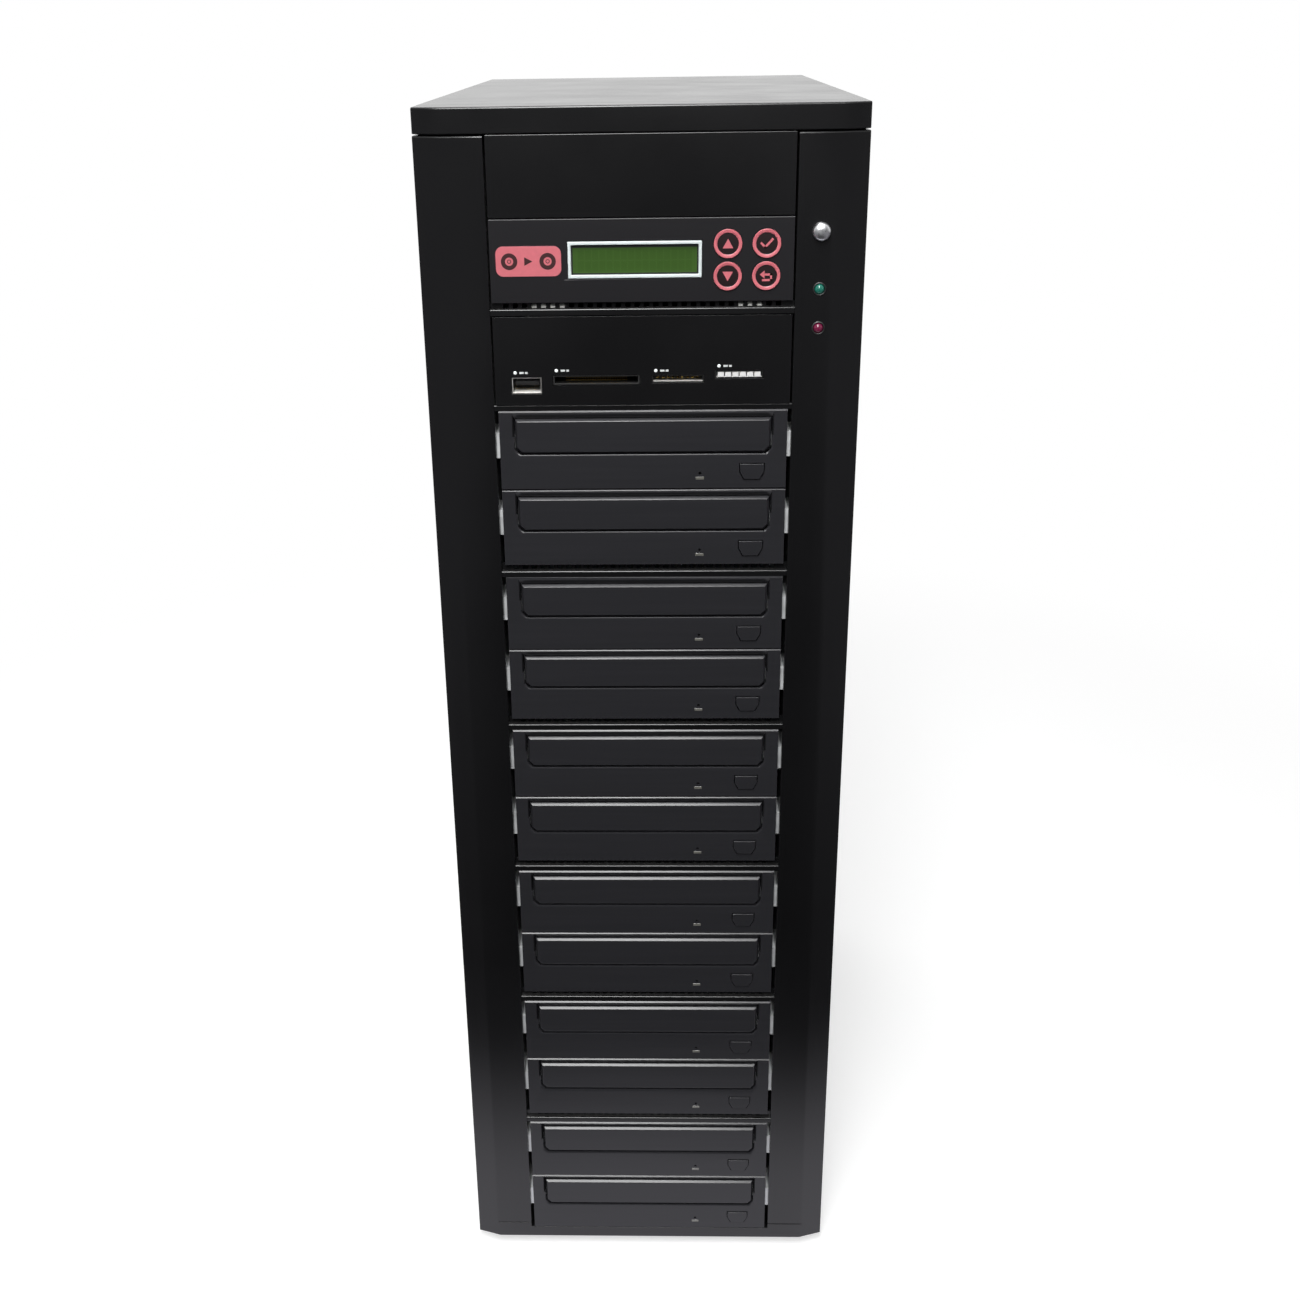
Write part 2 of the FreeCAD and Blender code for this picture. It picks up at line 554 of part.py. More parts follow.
def cage_plate(label, side):
    """One upright plate of the cage, drilled for the drives, with a tab beside each drive."""
    across = mirrored(side, (CAGE_INNER, CAGE_OUTER))
    plate = box(f"cage_plate_{label}", across, (behind("(face_thickness + cage_gap)"), behind(CAGE_END)),
                (above("steel"), above(f"{TOP} - cap_wall - cage_gap")))
    notch = box(f"cage_notch_{label}", across, (FRONT, behind("front_depth")),
                (above("0"), above("front_wall + cage_gap")))
    holes = [rod(f"cage_hole_{label}_{name}_{i}", SCREW_HOLE, "cage_thickness", "X",
                 (across[0], y_place, z_place))
             for name, level in DRIVES for i, (y_place, z_place) in enumerate(cage_screw_places(level))]
    tab_outer = f"({OPENING} / 2 - tab_clearance)"
    tabs = []
    for name, level in DRIVES:
        tab_top = f"({level} + drive_height - tab_top_drop)"
        tabs.append(box(f"cage_tab_{label}_{name}", mirrored(side, (CAGE_OUTER, tab_outer)),
                        (behind("tab_front"), behind("(tab_front + tab_length)")),
                        (f"{tab_top} - tab_height", tab_top)))
    return join(f"cage_{label}", [cut(f"cage_drilled_{label}", plate, [notch] + holes)] + tabs)


def drive_cage():
    node(group("cage", [cage_plate(label, side) for label, side in SIDES]), "drive_cage")


STRIP_WIDTH = about("0", f"{OPENING} - 2 * strip_gap")


def vent_strip(name, z_ends):
    """A filler strip across the opening: a lip at the foot of a face with a row of slots."""
    low, high = z_ends
    face_ends = (behind("strip_face_front"), behind("strip_back"))
    face = box(f"strip_face_{name}", STRIP_WIDTH, face_ends, z_ends)
    lip = box(f"strip_lip_{name}", STRIP_WIDTH, (behind("strip_lip_front"), face_ends[0]),
              (low, f"{low} + strip_lip_height"))
    middle = f"(({low} + strip_lip_height + {high}) / 2)"
    half_width = sum(sheet.get(name) for name in ("disc_radius", "tray_rim", "door_overlap", "door_margin"))
    count = int(half_width / sheet.get("slot_pitch"))
    slots = [box(f"strip_slot_{name}_{step + count}", about(f"slot_pitch * ({step} + 1 / 2)", "vent_width"),
                 face_ends, about(middle, "vent_height")) for step in range(-count, count)]
    return join(f"strip_{name}", [cut(f"strip_vented_{name}", face, slots), lip])


def vent_strips():
    """The strips between the pairs, the one under the controller and the ledge over the top drive."""
    strips = []
    for number in range(2, len(DRIVES), 2):
        foot = f"{DRIVES[number][1]} + drive_height + strip_gap"
        strips.append(vent_strip(str(number), (foot, f"{DRIVES[number - 1][1]} - strip_gap")))
    strips.append(vent_strip("top", (above(VENT), above(f"({VENT} + vent_strip_height)"))))
    ledge = box("ledge", STRIP_WIDTH, (behind("strip_lip_front"), behind("strip_back")),
                (f"{DRIVES[0][1]} + drive_height + strip_gap", above(f"({READER} - strip_gap)")))
    node(group("strips", strips + [ledge]), "vent_strips")


# Controller
CONTROLLER_MIDDLE = above(f"({CONTROLLER} + controller_height / 2)")
SCREEN_Z = above(f"({CONTROLLER} + screen_rise)")
PAD_X = "(screen_x + screen_width / 2 + screen_rim + pad_offset)"
PADS = [("up_button", -1, 1), ("down_button", -1, -1), ("ok_button", 1, 1), ("back_button", 1, -1)]


def pad_place(x_side, z_side):
    return (f"({PAD_X} + (pad_radius + pad_clear_across / 2) * {x_side})",
            above(f"({CONTROLLER} + pad_rise + (pad_radius + pad_clear_up / 2) * {z_side})"))


def screen_loop(margin):
    return rectangle(about("screen_x", f"screen_width + 2 * ({margin})"),
                     about(SCREEN_Z, f"screen_height + 2 * ({margin})"))


def controller_panel():
    whole = rectangle(about("0", PANEL), about(CONTROLLER_MIDDLE, "controller_height"))
    face = front_pad("controller_face", [whole, screen_loop("screen_rim + pad_gap")], FRONT,
                     "panel_thickness")
    holes = []
    for label, x_side, z_side in PADS:
        x_place, z_place = pad_place(x_side, z_side)
        holes.append(rod(f"hole_{label}", "pad_radius + pad_gap", "panel_thickness", "Y",
                         (x_place, FRONT, z_place)))
    post_reach = "controller_height / 2 - board_margin - post_radius"
    posts = [rod(f"controller_post_{i}", "post_radius", "board_space", "Y",
                 (x_place, behind("panel_thickness"), z_place))
             for i, (x_place, z_place) in enumerate(corner_places("0", PAD_X, CONTROLLER_MIDDLE, post_reach))]
    drilled = cut("controller_drilled", face, holes)
    arms = clip_arms("controller", CONTROLLER_MIDDLE)
    node(join("controller_join", [drilled] + posts + arms), "controller_panel")


def screen():
    node(front_pad("screen_ring", [screen_loop("screen_rim"), screen_loop("0")], behind("(-screen_proud)"),
                   "screen_proud + screen_depth"), "screen_frame")
    node(front_pad("screen_glass", [screen_loop("screen_rim")], behind("screen_depth"), "screen_thickness"),
         "screen_window")


def controller_board():
    whole = rectangle(about("0", f"{PANEL} - 2 * board_side_margin"),
                      about(CONTROLLER_MIDDLE, "controller_height - 2 * board_margin"))
    front = "(panel_thickness + board_space)"
    pieces = [front_pad("board_plate", [whole], behind(front), "board_thickness")]
    switch_ends = (behind(f"({front} - switch_height)"), behind(front))
    for label, x_side, z_side in PADS:
        x_place, z_place = pad_place(x_side, z_side)
        pieces.append(box(f"switch_{label}", about(x_place, "switch_side"), switch_ends,
                          about(z_place, "switch_side")))
    node(join("board_join", pieces), "controller_board")


def controller_buttons():
    for label, x_side, z_side in PADS:
        x_place, z_place = pad_place(x_side, z_side)
        cap = rod(f"cap_{label}", "pad_radius", "pad_proud + pad_depth", "Y",
                  (x_place, behind("(-pad_proud)"), z_place))
        stem = rod(f"stem_{label}", "stem_radius", "stem_length", "Y",
                   (x_place, behind("pad_depth"), z_place))
        node(join(f"join_{label}", [cap, stem]), label)


# Card reader
READER_MIDDLE = above(f"({READER} + reader_height / 2)")
SOCKETS = ("usb", "flash", "sd", "stick")


def socket_loop(name, margin):
    return rectangle(about(f"{name}_x", f"{name}_width + 2 * ({margin})"),
                     about(above(f"({READER} + {name}_rise)"), f"{name}_height + 2 * ({margin})"))


def reader_panel():
    """The panel with a hole for each socket and a lamp hole over the left end of each."""
    whole = rectangle(about("0", PANEL), about(READER_MIDDLE, "reader_height"))
    face = front_pad("reader_face", [whole] + [socket_loop(name, "socket_gap") for name in SOCKETS], FRONT,
                     "panel_thickness")
    dots = [rod(f"dot_{name}", "dot_radius", "panel_thickness", "Y",
                (f"{name}_x - {name}_width / 2 + 2 * dot_radius", FRONT,
                 above(f"({READER} + {name}_rise + {name}_height / 2 + dot_rise)"))) for name in SOCKETS]
    drilled = cut("reader_drilled", face, dots)
    node(join("reader_join", [drilled] + clip_arms("reader", READER_MIDDLE)), "reader_panel")


def card_reader():
    """The sockets, each a shell closed behind, on the board that carries them."""
    board_top = above(f"({READER} + usb_rise - usb_height / 2)")
    pieces = [box("reader_board", about("0", f"{SHELL} - 2 * arm_thickness"),
                  (behind("panel_thickness"), behind("(panel_thickness + reader_board_length)")),
                  (f"{board_top} - board_thickness", board_top))]
    for name in SOCKETS:
        wall = f"{name}_wall"
        x_ends = about(f"{name}_x", f"{name}_width")
        z_ends = about(above(f"({READER} + {name}_rise)"), f"{name}_height")
        end = (behind("(socket_sink + socket_depth)"), behind(f"(socket_sink + socket_depth + {wall})"))
        loops = [socket_loop(name, "0"), socket_loop(name, f"-{wall}")]
        pieces.append(front_pad(f"socket_{name}", loops, behind("socket_sink"), "socket_depth"))
        pieces.append(box(f"socket_end_{name}", x_ends, end, z_ends))
        if name != "usb":
            foot_ends = (behind("(panel_thickness + socket_gap)"), end[1])
            foot_height = (board_top, f"{z_ends[0]} + {wall} / 2")
            pieces.append(box(f"socket_foot_{name}", x_ends, foot_ends, foot_height))
    usb_middle = above(f"({READER} + usb_rise)")
    pieces.append(box("usb_tongue", about("usb_x", "usb_width - 6 * usb_wall"),
                      (behind("(socket_sink + tongue)"), behind("(socket_sink + socket_depth)")),
                      (usb_middle, f"{usb_middle} + tongue")))
    node(join("card_reader_join", pieces), "card_reader")


# Power button and lamps
def power_button():
    shaft = rod("power_shaft", "power_radius", "power_proud - power_dome + power_length", "Y",
                (POWER_X, behind("(power_dome - power_proud)"), POWER_Z))
    crown = doc.addObject("Part::Cone", "power_crown")
    bind(crown, Radius1="power_radius - power_dome", Radius2="power_radius", Height="power_dome")
    crown.Placement.Rotation = TURNS["Y"]
    place(crown, POWER_X, behind("(-power_proud)"), POWER_Z)
    node(join("power_join", [shaft, crown]), "power_button")
    node(rod("power_housing", "power_radius + power_gap + boss_wall", "switch_body_length", "Y",
             (POWER_X, behind("boss_length"), POWER_Z)), "power_switch")


def case_lamps():
    for label, height in LAMP_HEIGHTS:
        centre = (POWER_X, behind("(led_radius - led_proud)"), height)
        stem = rod(f"{label}_stem", "led_radius", "led_length + led_proud - led_radius", "Y", centre)
        dome = doc.addObject("Part::Sphere", f"{label}_dome")
        bind(dome, Radius="led_radius")
        node(join(f"{label}_join", [stem, place(dome, *centre)]), label)


# Fans, power supply and mains fittings
FAN_BORE = "(fan_size / 2 - fan_rim)"


def fan_frame(name, x_middle, y_back, z_middle):
    """A square fan frame behind its sheet, with struts to the mount that carries the rotor's pin."""
    y_front = f"({y_back} - fan_depth)"
    start = (x_middle, y_front, z_middle)
    square = box(f"{name}_square", about(x_middle, "fan_size"), (y_front, y_back),
                 about(z_middle, "fan_size"))
    ring = cut(f"{name}_ring", square, [rod(f"{name}_bore", FAN_BORE, "fan_depth", "Y", start)])
    strut_ends = (y_front, f"{y_front} + fan_mount_depth")
    reach = f"2 * {FAN_BORE} + fan_rim"
    struts = [box(f"{name}_strut_level", about(x_middle, reach), strut_ends, about(z_middle, "fan_strut")),
              box(f"{name}_strut_upright", about(x_middle, "fan_strut"), strut_ends, about(z_middle, reach))]
    mount = rod(f"{name}_mount", "fan_mount", "fan_mount_depth", "Y", start)
    pin = rod(f"{name}_pin", "fan_pin", "fan_mount_depth + rotor_depth / 2", "Y", start)
    return join(name, [ring, mount, pin] + struts)


def fan_blade(name, angle, middle, tip):
    """A flat blade from inside the hub, turned about the rotor and pitched about its own length."""
    blade = bind(doc.addObject("Part::Box", name), Length=tip, Width="blade_chord", Height="blade_thickness")
    turn = FreeCAD.Rotation(V(0, 1, 0), angle).multiply(FreeCAD.Rotation(V(1, 0, 0), BLADE_PITCH_DEGREES))
    blade.Placement.Rotation = turn
    directions = [turn.multVec(axis) for axis in (V(1, 0, 0), V(0, 1, 0), V(0, 0, 1))]
    starts = ("fan_hub / 2", "-blade_chord / 2", "-blade_thickness / 2")
    corner = list(middle)
    for start, direction in zip(starts, directions):
        corner = [f"{text} + ({start}) * ({share:.9f})" for text, share in zip(corner, direction)]
    return place(blade, *corner)


def fan_rotor(name, label, x_middle, y_back, z_middle):
    """A hub, bored for its pin, with pitched blades round it."""
    y_front = f"({y_back} - fan_depth + fan_mount_depth + rotor_gap)"
    start = (x_middle, y_front, z_middle)
    tip = f"{FAN_BORE} - tip_gap"
    hub = rod(f"{name}_hub", "fan_hub", "rotor_depth", "Y", start)
    bore = rod(f"{name}_bore", "fan_pin + fan_pin_gap", "rotor_depth / 2", "Y", start)
    middle = (x_middle, f"{y_front} + rotor_depth / 2", z_middle)
    blades = [fan_blade(f"{name}_blade_{step}", 360 * step / BLADE_COUNT, middle, tip)
              for step in range(BLADE_COUNT)]
    trimmed = doc.addObject("Part::Common", f"{name}_trimmed")
    trimmed.Base = join(f"{name}_blades", blades)
    trimmed.Tool = rod(f"{name}_sweep", tip, "rotor_depth", "Y", start)
    node(cut(f"{name}_bored", join(f"{name}_whole", [hub, trimmed]), [bore]), label)


def case_fans():
    frames = []
    for name, height in FAN_HEIGHTS.items():
        frames.append(fan_frame(f"{name}_fan", "0", SHEET_FACE, height))
        fan_rotor(f"{name}_rotor", f"{name}_fan_rotor", "0", SHEET_FACE, height)
    node(group("fan_frames", frames), "case_fan_frames")


INLET_X = "(supply_width / 2 - inlet_inset)"
INLET_Z = f"({SUPPLY_Z} + inlet_rise)"
ROCKER_Z = f"({SUPPLY_Z} - rocker_drop)"


def inlet_loop(margin):
    return rectangle(about(INLET_X, f"inlet_width + 2 * ({margin})"),
                     about(INLET_Z, f"inlet_height + 2 * ({margin})"))


def rocker_loop(margin):
    return rectangle(about(INLET_X, f"rocker_width + 2 * {margin}"),
                     about(ROCKER_Z, f"rocker_height + 2 * {margin}"))


def power_supply():
    """A steel box with a punched grille, its fan behind that, and holes for the mains fittings."""
    rear = f"({SHEET_FACE} - steel)"
    length = (f"({SHEET_FACE} - supply_length)", SHEET_FACE)
    block = box("supply_block", about("0", "supply_width"), length, about(SUPPLY_Z, SUPPLY_HEIGHT))
    hollow = box("supply_hollow", about("0", "supply_width - 2 * steel"), (f"{length[0]} + steel", rear),
                 about(SUPPLY_Z, f"{SUPPLY_HEIGHT} - 2 * steel"))
    grille = fan_grille("supply_grille", SUPPLY_FAN_X, SUPPLY_Z, rear)
    windows = [front_pad("inlet_hole", [inlet_loop("inlet_gap")], rear, "steel"),
               front_pad("rocker_hole", [rocker_loop("rocker_frame")], rear, "steel")]
    case = cut("supply_case", block, [hollow, grille] + windows)
    node(group("supply", [case, fan_frame("supply_fan", SUPPLY_FAN_X, rear, SUPPLY_Z)]), "power_supply")
    fan_rotor("supply_rotor", "supply_fan_rotor", SUPPLY_FAN_X, rear, SUPPLY_Z)


def mains_inlet():
    """The mains socket with its three prongs, and the frame of the rocker switch below it."""
    outer = f"({SHEET_FACE} + inlet_flange)"
    floor = f"({outer} - inlet_depth)"
    body = front_pad("inlet_body", [inlet_loop("0")], f"{floor} - inlet_flange", "inlet_depth + inlet_flange")
    flange = front_pad("inlet_flange_pad", [inlet_loop("inlet_lip")], SHEET_FACE, "inlet_flange")
    recess = front_pad("inlet_recess", [inlet_loop("-inlet_wall")], floor, "inlet_depth")
    socket = cut("inlet_socket", join("inlet_solid", [body, flange]), [recess])
    prong_ends = (floor, f"{floor} + prong_length")
    prongs = [box(f"prong_{i}", about(f"{INLET_X} + prong_spacing * {side}", "prong_width"), prong_ends,
                  about(f"{INLET_Z} + prong_step * {rise}", "prong_height"))
              for i, (side, rise) in enumerate(((-1, 0), (1, 0), (0, 1)))]
    ring = front_pad("rocker_ring", [rocker_loop("rocker_frame"), rocker_loop("rocker_gap")],
                     f"({SHEET_FACE} + rocker_proud - rocker_frame_depth)", "rocker_frame_depth")
    node(group("fittings", [join("inlet_join", [socket] + prongs), ring]), "mains_inlet")


def rocker_switch():
    """The rocker, a bar of one shallow V section, tipped about the middle of its frame."""
    sink = sheet.get("rocker_sink")
    half = sheet.get("rocker_height") / 2 - sheet.get("rocker_gap")
    heel = -sheet.get("rocker_depth") / 2
    section = [(heel, -half / 2), (heel, half / 2), (sink, half), (sink / 2, 0), (sink, -half)]
    corners = [V(0, back, up) for back, up in section]
    rocker = doc.addObject("Part::Feature", "rocker")
    face = Part.Face(Part.makePolygon(corners + corners[:1]))
    rocker.Shape = face.extrude(V(sheet.get("rocker_width"), 0, 0))
    rocker.Placement = FreeCAD.Placement(V(), FreeCAD.Rotation(V(1, 0, 0), -ROCKER_TILT_DEGREES))
    place(rocker, f"{INLET_X} - rocker_width / 2", f"{SHEET_FACE} + rocker_proud - rocker_sink", ROCKER_Z)
    node(rocker, "rocker_switch")


# Feet and screws
def feet():
    places = [(f"({HALF} - foot_inset_side) * {side}", y_place)
              for label, side in SIDES for y_place in (behind("foot_inset_end"), f"{BACK} - foot_inset_end")]
    pads = [rod(f"foot_{i}", "foot_radius", "foot_height", "Z", (x_place, y_place, "0"))
            for i, (x_place, y_place) in enumerate(places)]
    node(group("foot_set", pads), "feet")


def screw(name, along, head_start, head_sizes, shank_start, grip):
    head = rod(f"{name}_head", head_sizes[0], head_sizes[1], along, head_start)
    return join(name, [head, rod(f"{name}_shank", "shank_radius", grip, along, shank_start)])


def screws():
    """Each screw is a head on its sheet and a shank through it."""
    plain = ("head_radius", "head_height")
    thumb = ("thumb_radius", "thumb_height")
    pieces = []
    for i, (x_place, z_place) in enumerate(sheet_screw_places()):
        pieces.append(screw(f"rear_screw_{i}", "Y", (x_place, f"{BACK} - steel", z_place), plain,
                            (x_place, SHEET_FACE, z_place), "steel"))
    for i, (x_place, z_place) in enumerate(thumb_screw_places(-1) + thumb_screw_places(1)):
        pieces.append(screw(f"thumb_screw_{i}", "Y", (x_place, BACK, z_place), thumb,
                            (x_place, SHEET_FACE, z_place), "2 * steel"))
    for label, side in SIDES:
        for name, level in DRIVES:
            for i, (y_place, z_place) in enumerate(cage_screw_places(level)):
                pieces.append(screw(f"cage_screw_{label}_{name}_{i}", "X" if side > 0 else "-X",
                                    (f"{CAGE_OUTER} * {side}", y_place, z_place), plain,
                                    (f"{CAGE_INNER} * {side}", y_place, z_place), "cage_thickness"))
    node(group("screw_set", pieces), "screws")


base_pan()
top_cover()
for name, side in SIDES:
    side_panel(name, side)
back_panel()
front_bezel()
bezel_cap()
blank_cover()
drives()
drive_cage()
vent_strips()
controller_panel()
screen()
controller_board()
controller_buttons()
reader_panel()
card_reader()
power_button()
case_lamps()
case_fans()
power_supply()
mains_inlet()
rocker_switch()
feet()
screws()
doc.recompute()

for piece in doc.Objects:
    if "Invalid" in piece.State or "Error" in piece.State:
        raise RuntimeError(f"{piece.Name} did not build")
os.makedirs("parts", exist_ok=True)
for piece in nodes:
    if piece.Shape.isNull() or not piece.Shape.isValid():
        raise RuntimeError(f"{piece.Label} has no valid shape")
    piece.Shape.exportStep(f"parts/{piece.Label}.step")
    print(piece.Label, len(piece.Shape.Solids), "solids", len(piece.Shape.Faces), "faces")
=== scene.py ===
import json
import math

import bmesh
import bpy
from bpy.props import FloatProperty, FloatVectorProperty, IntProperty, PointerProperty
from mathutils import Matrix, Vector

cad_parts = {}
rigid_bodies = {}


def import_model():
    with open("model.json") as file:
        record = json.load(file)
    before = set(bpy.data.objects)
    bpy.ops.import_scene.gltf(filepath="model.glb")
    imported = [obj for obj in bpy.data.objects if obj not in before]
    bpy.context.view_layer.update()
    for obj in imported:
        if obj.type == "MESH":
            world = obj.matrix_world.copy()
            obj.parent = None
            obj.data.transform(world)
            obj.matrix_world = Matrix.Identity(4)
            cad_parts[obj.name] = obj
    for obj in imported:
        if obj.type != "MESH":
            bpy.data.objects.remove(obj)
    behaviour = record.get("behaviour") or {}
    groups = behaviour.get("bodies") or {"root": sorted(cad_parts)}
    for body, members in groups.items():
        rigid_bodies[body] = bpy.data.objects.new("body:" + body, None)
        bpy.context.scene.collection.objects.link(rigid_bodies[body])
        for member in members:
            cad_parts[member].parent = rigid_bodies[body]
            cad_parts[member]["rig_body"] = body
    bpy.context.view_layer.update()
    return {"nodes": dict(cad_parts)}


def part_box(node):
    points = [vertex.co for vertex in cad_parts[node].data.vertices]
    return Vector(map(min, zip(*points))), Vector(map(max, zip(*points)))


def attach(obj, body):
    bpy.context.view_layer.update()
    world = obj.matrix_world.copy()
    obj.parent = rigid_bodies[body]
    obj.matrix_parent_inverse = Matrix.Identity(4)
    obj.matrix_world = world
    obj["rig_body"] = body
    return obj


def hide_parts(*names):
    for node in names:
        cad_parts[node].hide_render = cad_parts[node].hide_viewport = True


bl_info = {
    "name": "Disc duplicator tower",
    "version": (1, 0, 0),
    "blender": (4, 5, 0),
    "location": "3D View > Sidebar > Tower",
    "description": "Finishes and small detail for a tower of disc drives",
    "category": "Object",
}

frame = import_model()

MM = 0.001
NODES = frame["nodes"]
FRONT_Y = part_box("controller_panel")[0].y
MERGE = 0.001 * MM
FLAT_ANGLE = math.radians(0.2)
CORNER_ANGLE = math.radians(28)
LONG_EDGE = 12 * MM
RIM_SHARE = 1.6 / 17.7  # width of the screen's rim over the rim's height
DISPLAY_GLOW = 0.14
# Of the plate: its thickness over a mark's, its height over a disc's radius, its width over a disc's place
PLATE_MARKS, PLATE_DISC, PLATE_SPREAD = 4, 3.6, 3.4
SPRING_SLOTS = (-12, -11, -10, -9, 10, 11, 12)
# In millimetres
SLOT_PITCH, SLOT_HEIGHT, SLOT_TOP = 4.7, 2.4, 0.25  # slots of the top vent strip
SPRING_DROP, SPRING_THICKNESS = 0.5, 0.3  # of a spring's foot under its slot, and of its strip
HOLDER_GAP, HOLDER_HEIGHT = 0.15, 0.4  # round a lamp, and of its holder
SUPPLY_SKIN = 1.3  # the supply's sheet and its rounding
PRONG_ACROSS, PRONG_UP = 11.5, 7.8  # reach of the prongs from the inlet's middle
PRONG_INNER, PRONG_OUTER = 2.6, 3  # depths between which they show
THUMB_RADIUS = 4  # from which a screw is a thumb screw
# In metres, where the floor's sheet and its shade end
SHEET_FADE, FLOOR_FADE = (0.55, 0.73), (0.5, 0.95)
# The range node's inputs
RANGE = ("Value", "From Min", "From Max", "To Min", "To Max")
DRIVE_NAMES = sorted(name[-2:] for name in NODES if name.startswith("tray_"))
DIRECTIONS = {"front": Vector((0, -1, 0)), "back": Vector((0, 1, 0)), "left": Vector((-1, 0, 0)),
              "right": Vector((1, 0, 0))}
QUARTER_STEPS, SPRING_STEPS = 6, 8  # in a round corner, and in a spring's bend


def linear(text):
    """The scene-linear colour, with alpha, of an sRGB hex value."""
    channels = [int(text[i:i + 2], 16) / 255 for i in (1, 3, 5)]
    return tuple(c / 12.92 if c <= 0.04045 else ((c + 0.055) / 1.055) ** 2.4 for c in channels) + (1.0,)


def length(name, description, millimetres):
    return FloatProperty(name=name, description=description, default=millimetres * MM, min=0, unit="LENGTH")


def colour(name, description, text):
    return FloatVectorProperty(name=name, description=description, default=linear(text), size=4,
                               min=0, max=1, subtype="COLOR")


class TowerSizes(bpy.types.PropertyGroup):
    """Sizes of the finish and of the small pieces."""

    moulded_edge: length("Moulded edge", "Radius of the plastic front's corners", 0.5)
    panel_edge: length("Panel edge", "Radius of the bay covers' corners", 0.35)
    drive_edge: length("Drive edge", "Radius of drive fronts' and trays' corners", 0.32)
    sheet_edge: length("Sheet edge", "Radius of the sheet steel's corners", 0.3)
    small_edge: length("Small edge", "Radius of small parts' corners", 0.22)
    print_height: length("Print height", "Height of printed marks", 0.06)
    moulded_top: length("Moulded top edge", "Radius of the plastic front's upper edges", 1.0)
    drive_top: length("Drive top edge", "Chamfer of the drives' upper edges", 0.7)
    ring_width: length("Ring width", "Width of a key's coloured ring", 1.7)
    mark_size: length("Mark size", "Width of the sign on a key", 5.2)
    badge_width: length("Badge width", "Width of the plate beside the screen", 32.4)
    badge_height: length("Badge height", "Height of that plate", 14.6)
    border_width: length("Screen border", "Width of the screen's dark border", 0.8)
    # Painted shadow: the dark band along the display's top is wider than at the sides because it also paints
    # the frame's shadow.
    border_top: length("Screen border top", "Height of its dark border on top", 1.5)
    badge_inset: length("Badge inset", "From the panel's left end to its middle", 19.2)
    cell_width: length("Cell width", "Width of a character cell", 2.95)
    cell_height: length("Cell height", "Height of a character cell", 5.1)
    cell_gap: length("Cell gap", "Gap between character cells", 0.6)
    cell_columns: IntProperty(name="Columns", description="Character cells in a row", default=16, min=1)
    cell_rows: IntProperty(name="Rows", description="Rows of character cells", default=2, min=1)
    holder_width: length("Holder width", "Width of the ring that holds a lamp", 0.7)
    spring_radius: length("Spring radius", "Bend of an earthing spring", 3.0)
    spring_width: length("Spring width", "Width of an earthing spring", 2.3)


class TowerColours(bpy.types.PropertyGroup):
    """Colours of the finishes."""

    case: colour("Case", "Powder coat of the case", "#141414")
    front: colour("Front", "Front, cap and blank covers", "#131314")
    overlay: colour("Overlay", "Film on the controller", "#1c1b1e")
    drive: colour("Drive", "Drive fronts and trays", "#2e2e31")
    coral: colour("Coral", "Printed rings, signs and the plate", "#d8707a")
    coral_dark: colour("Plate sign", "Sign on the coloured plate", "#3a0d12")
    key: colour("Key", "Face of the keys", "#1c0b0e")
    display: colour("Display", "Ground of the screen", "#38571f")
    cell: colour("Character cell", "Cells of the screen", "#34521b")
    rim: colour("Screen rim", "Rim round the screen", "#e4eeee")


def add(tree, kind, inputs=None, **settings):
    """Adds one node with its settings, and gives its inputs values or links."""
    node = tree.nodes.new(kind)
    for name, value in settings.items():
        setattr(node, name, value)
    for name, value in (inputs or {}).items():
        if isinstance(value, bpy.types.NodeSocket):
            tree.links.new(value, node.inputs[name])
        else:
            node.inputs[name].default_value = value
    return node


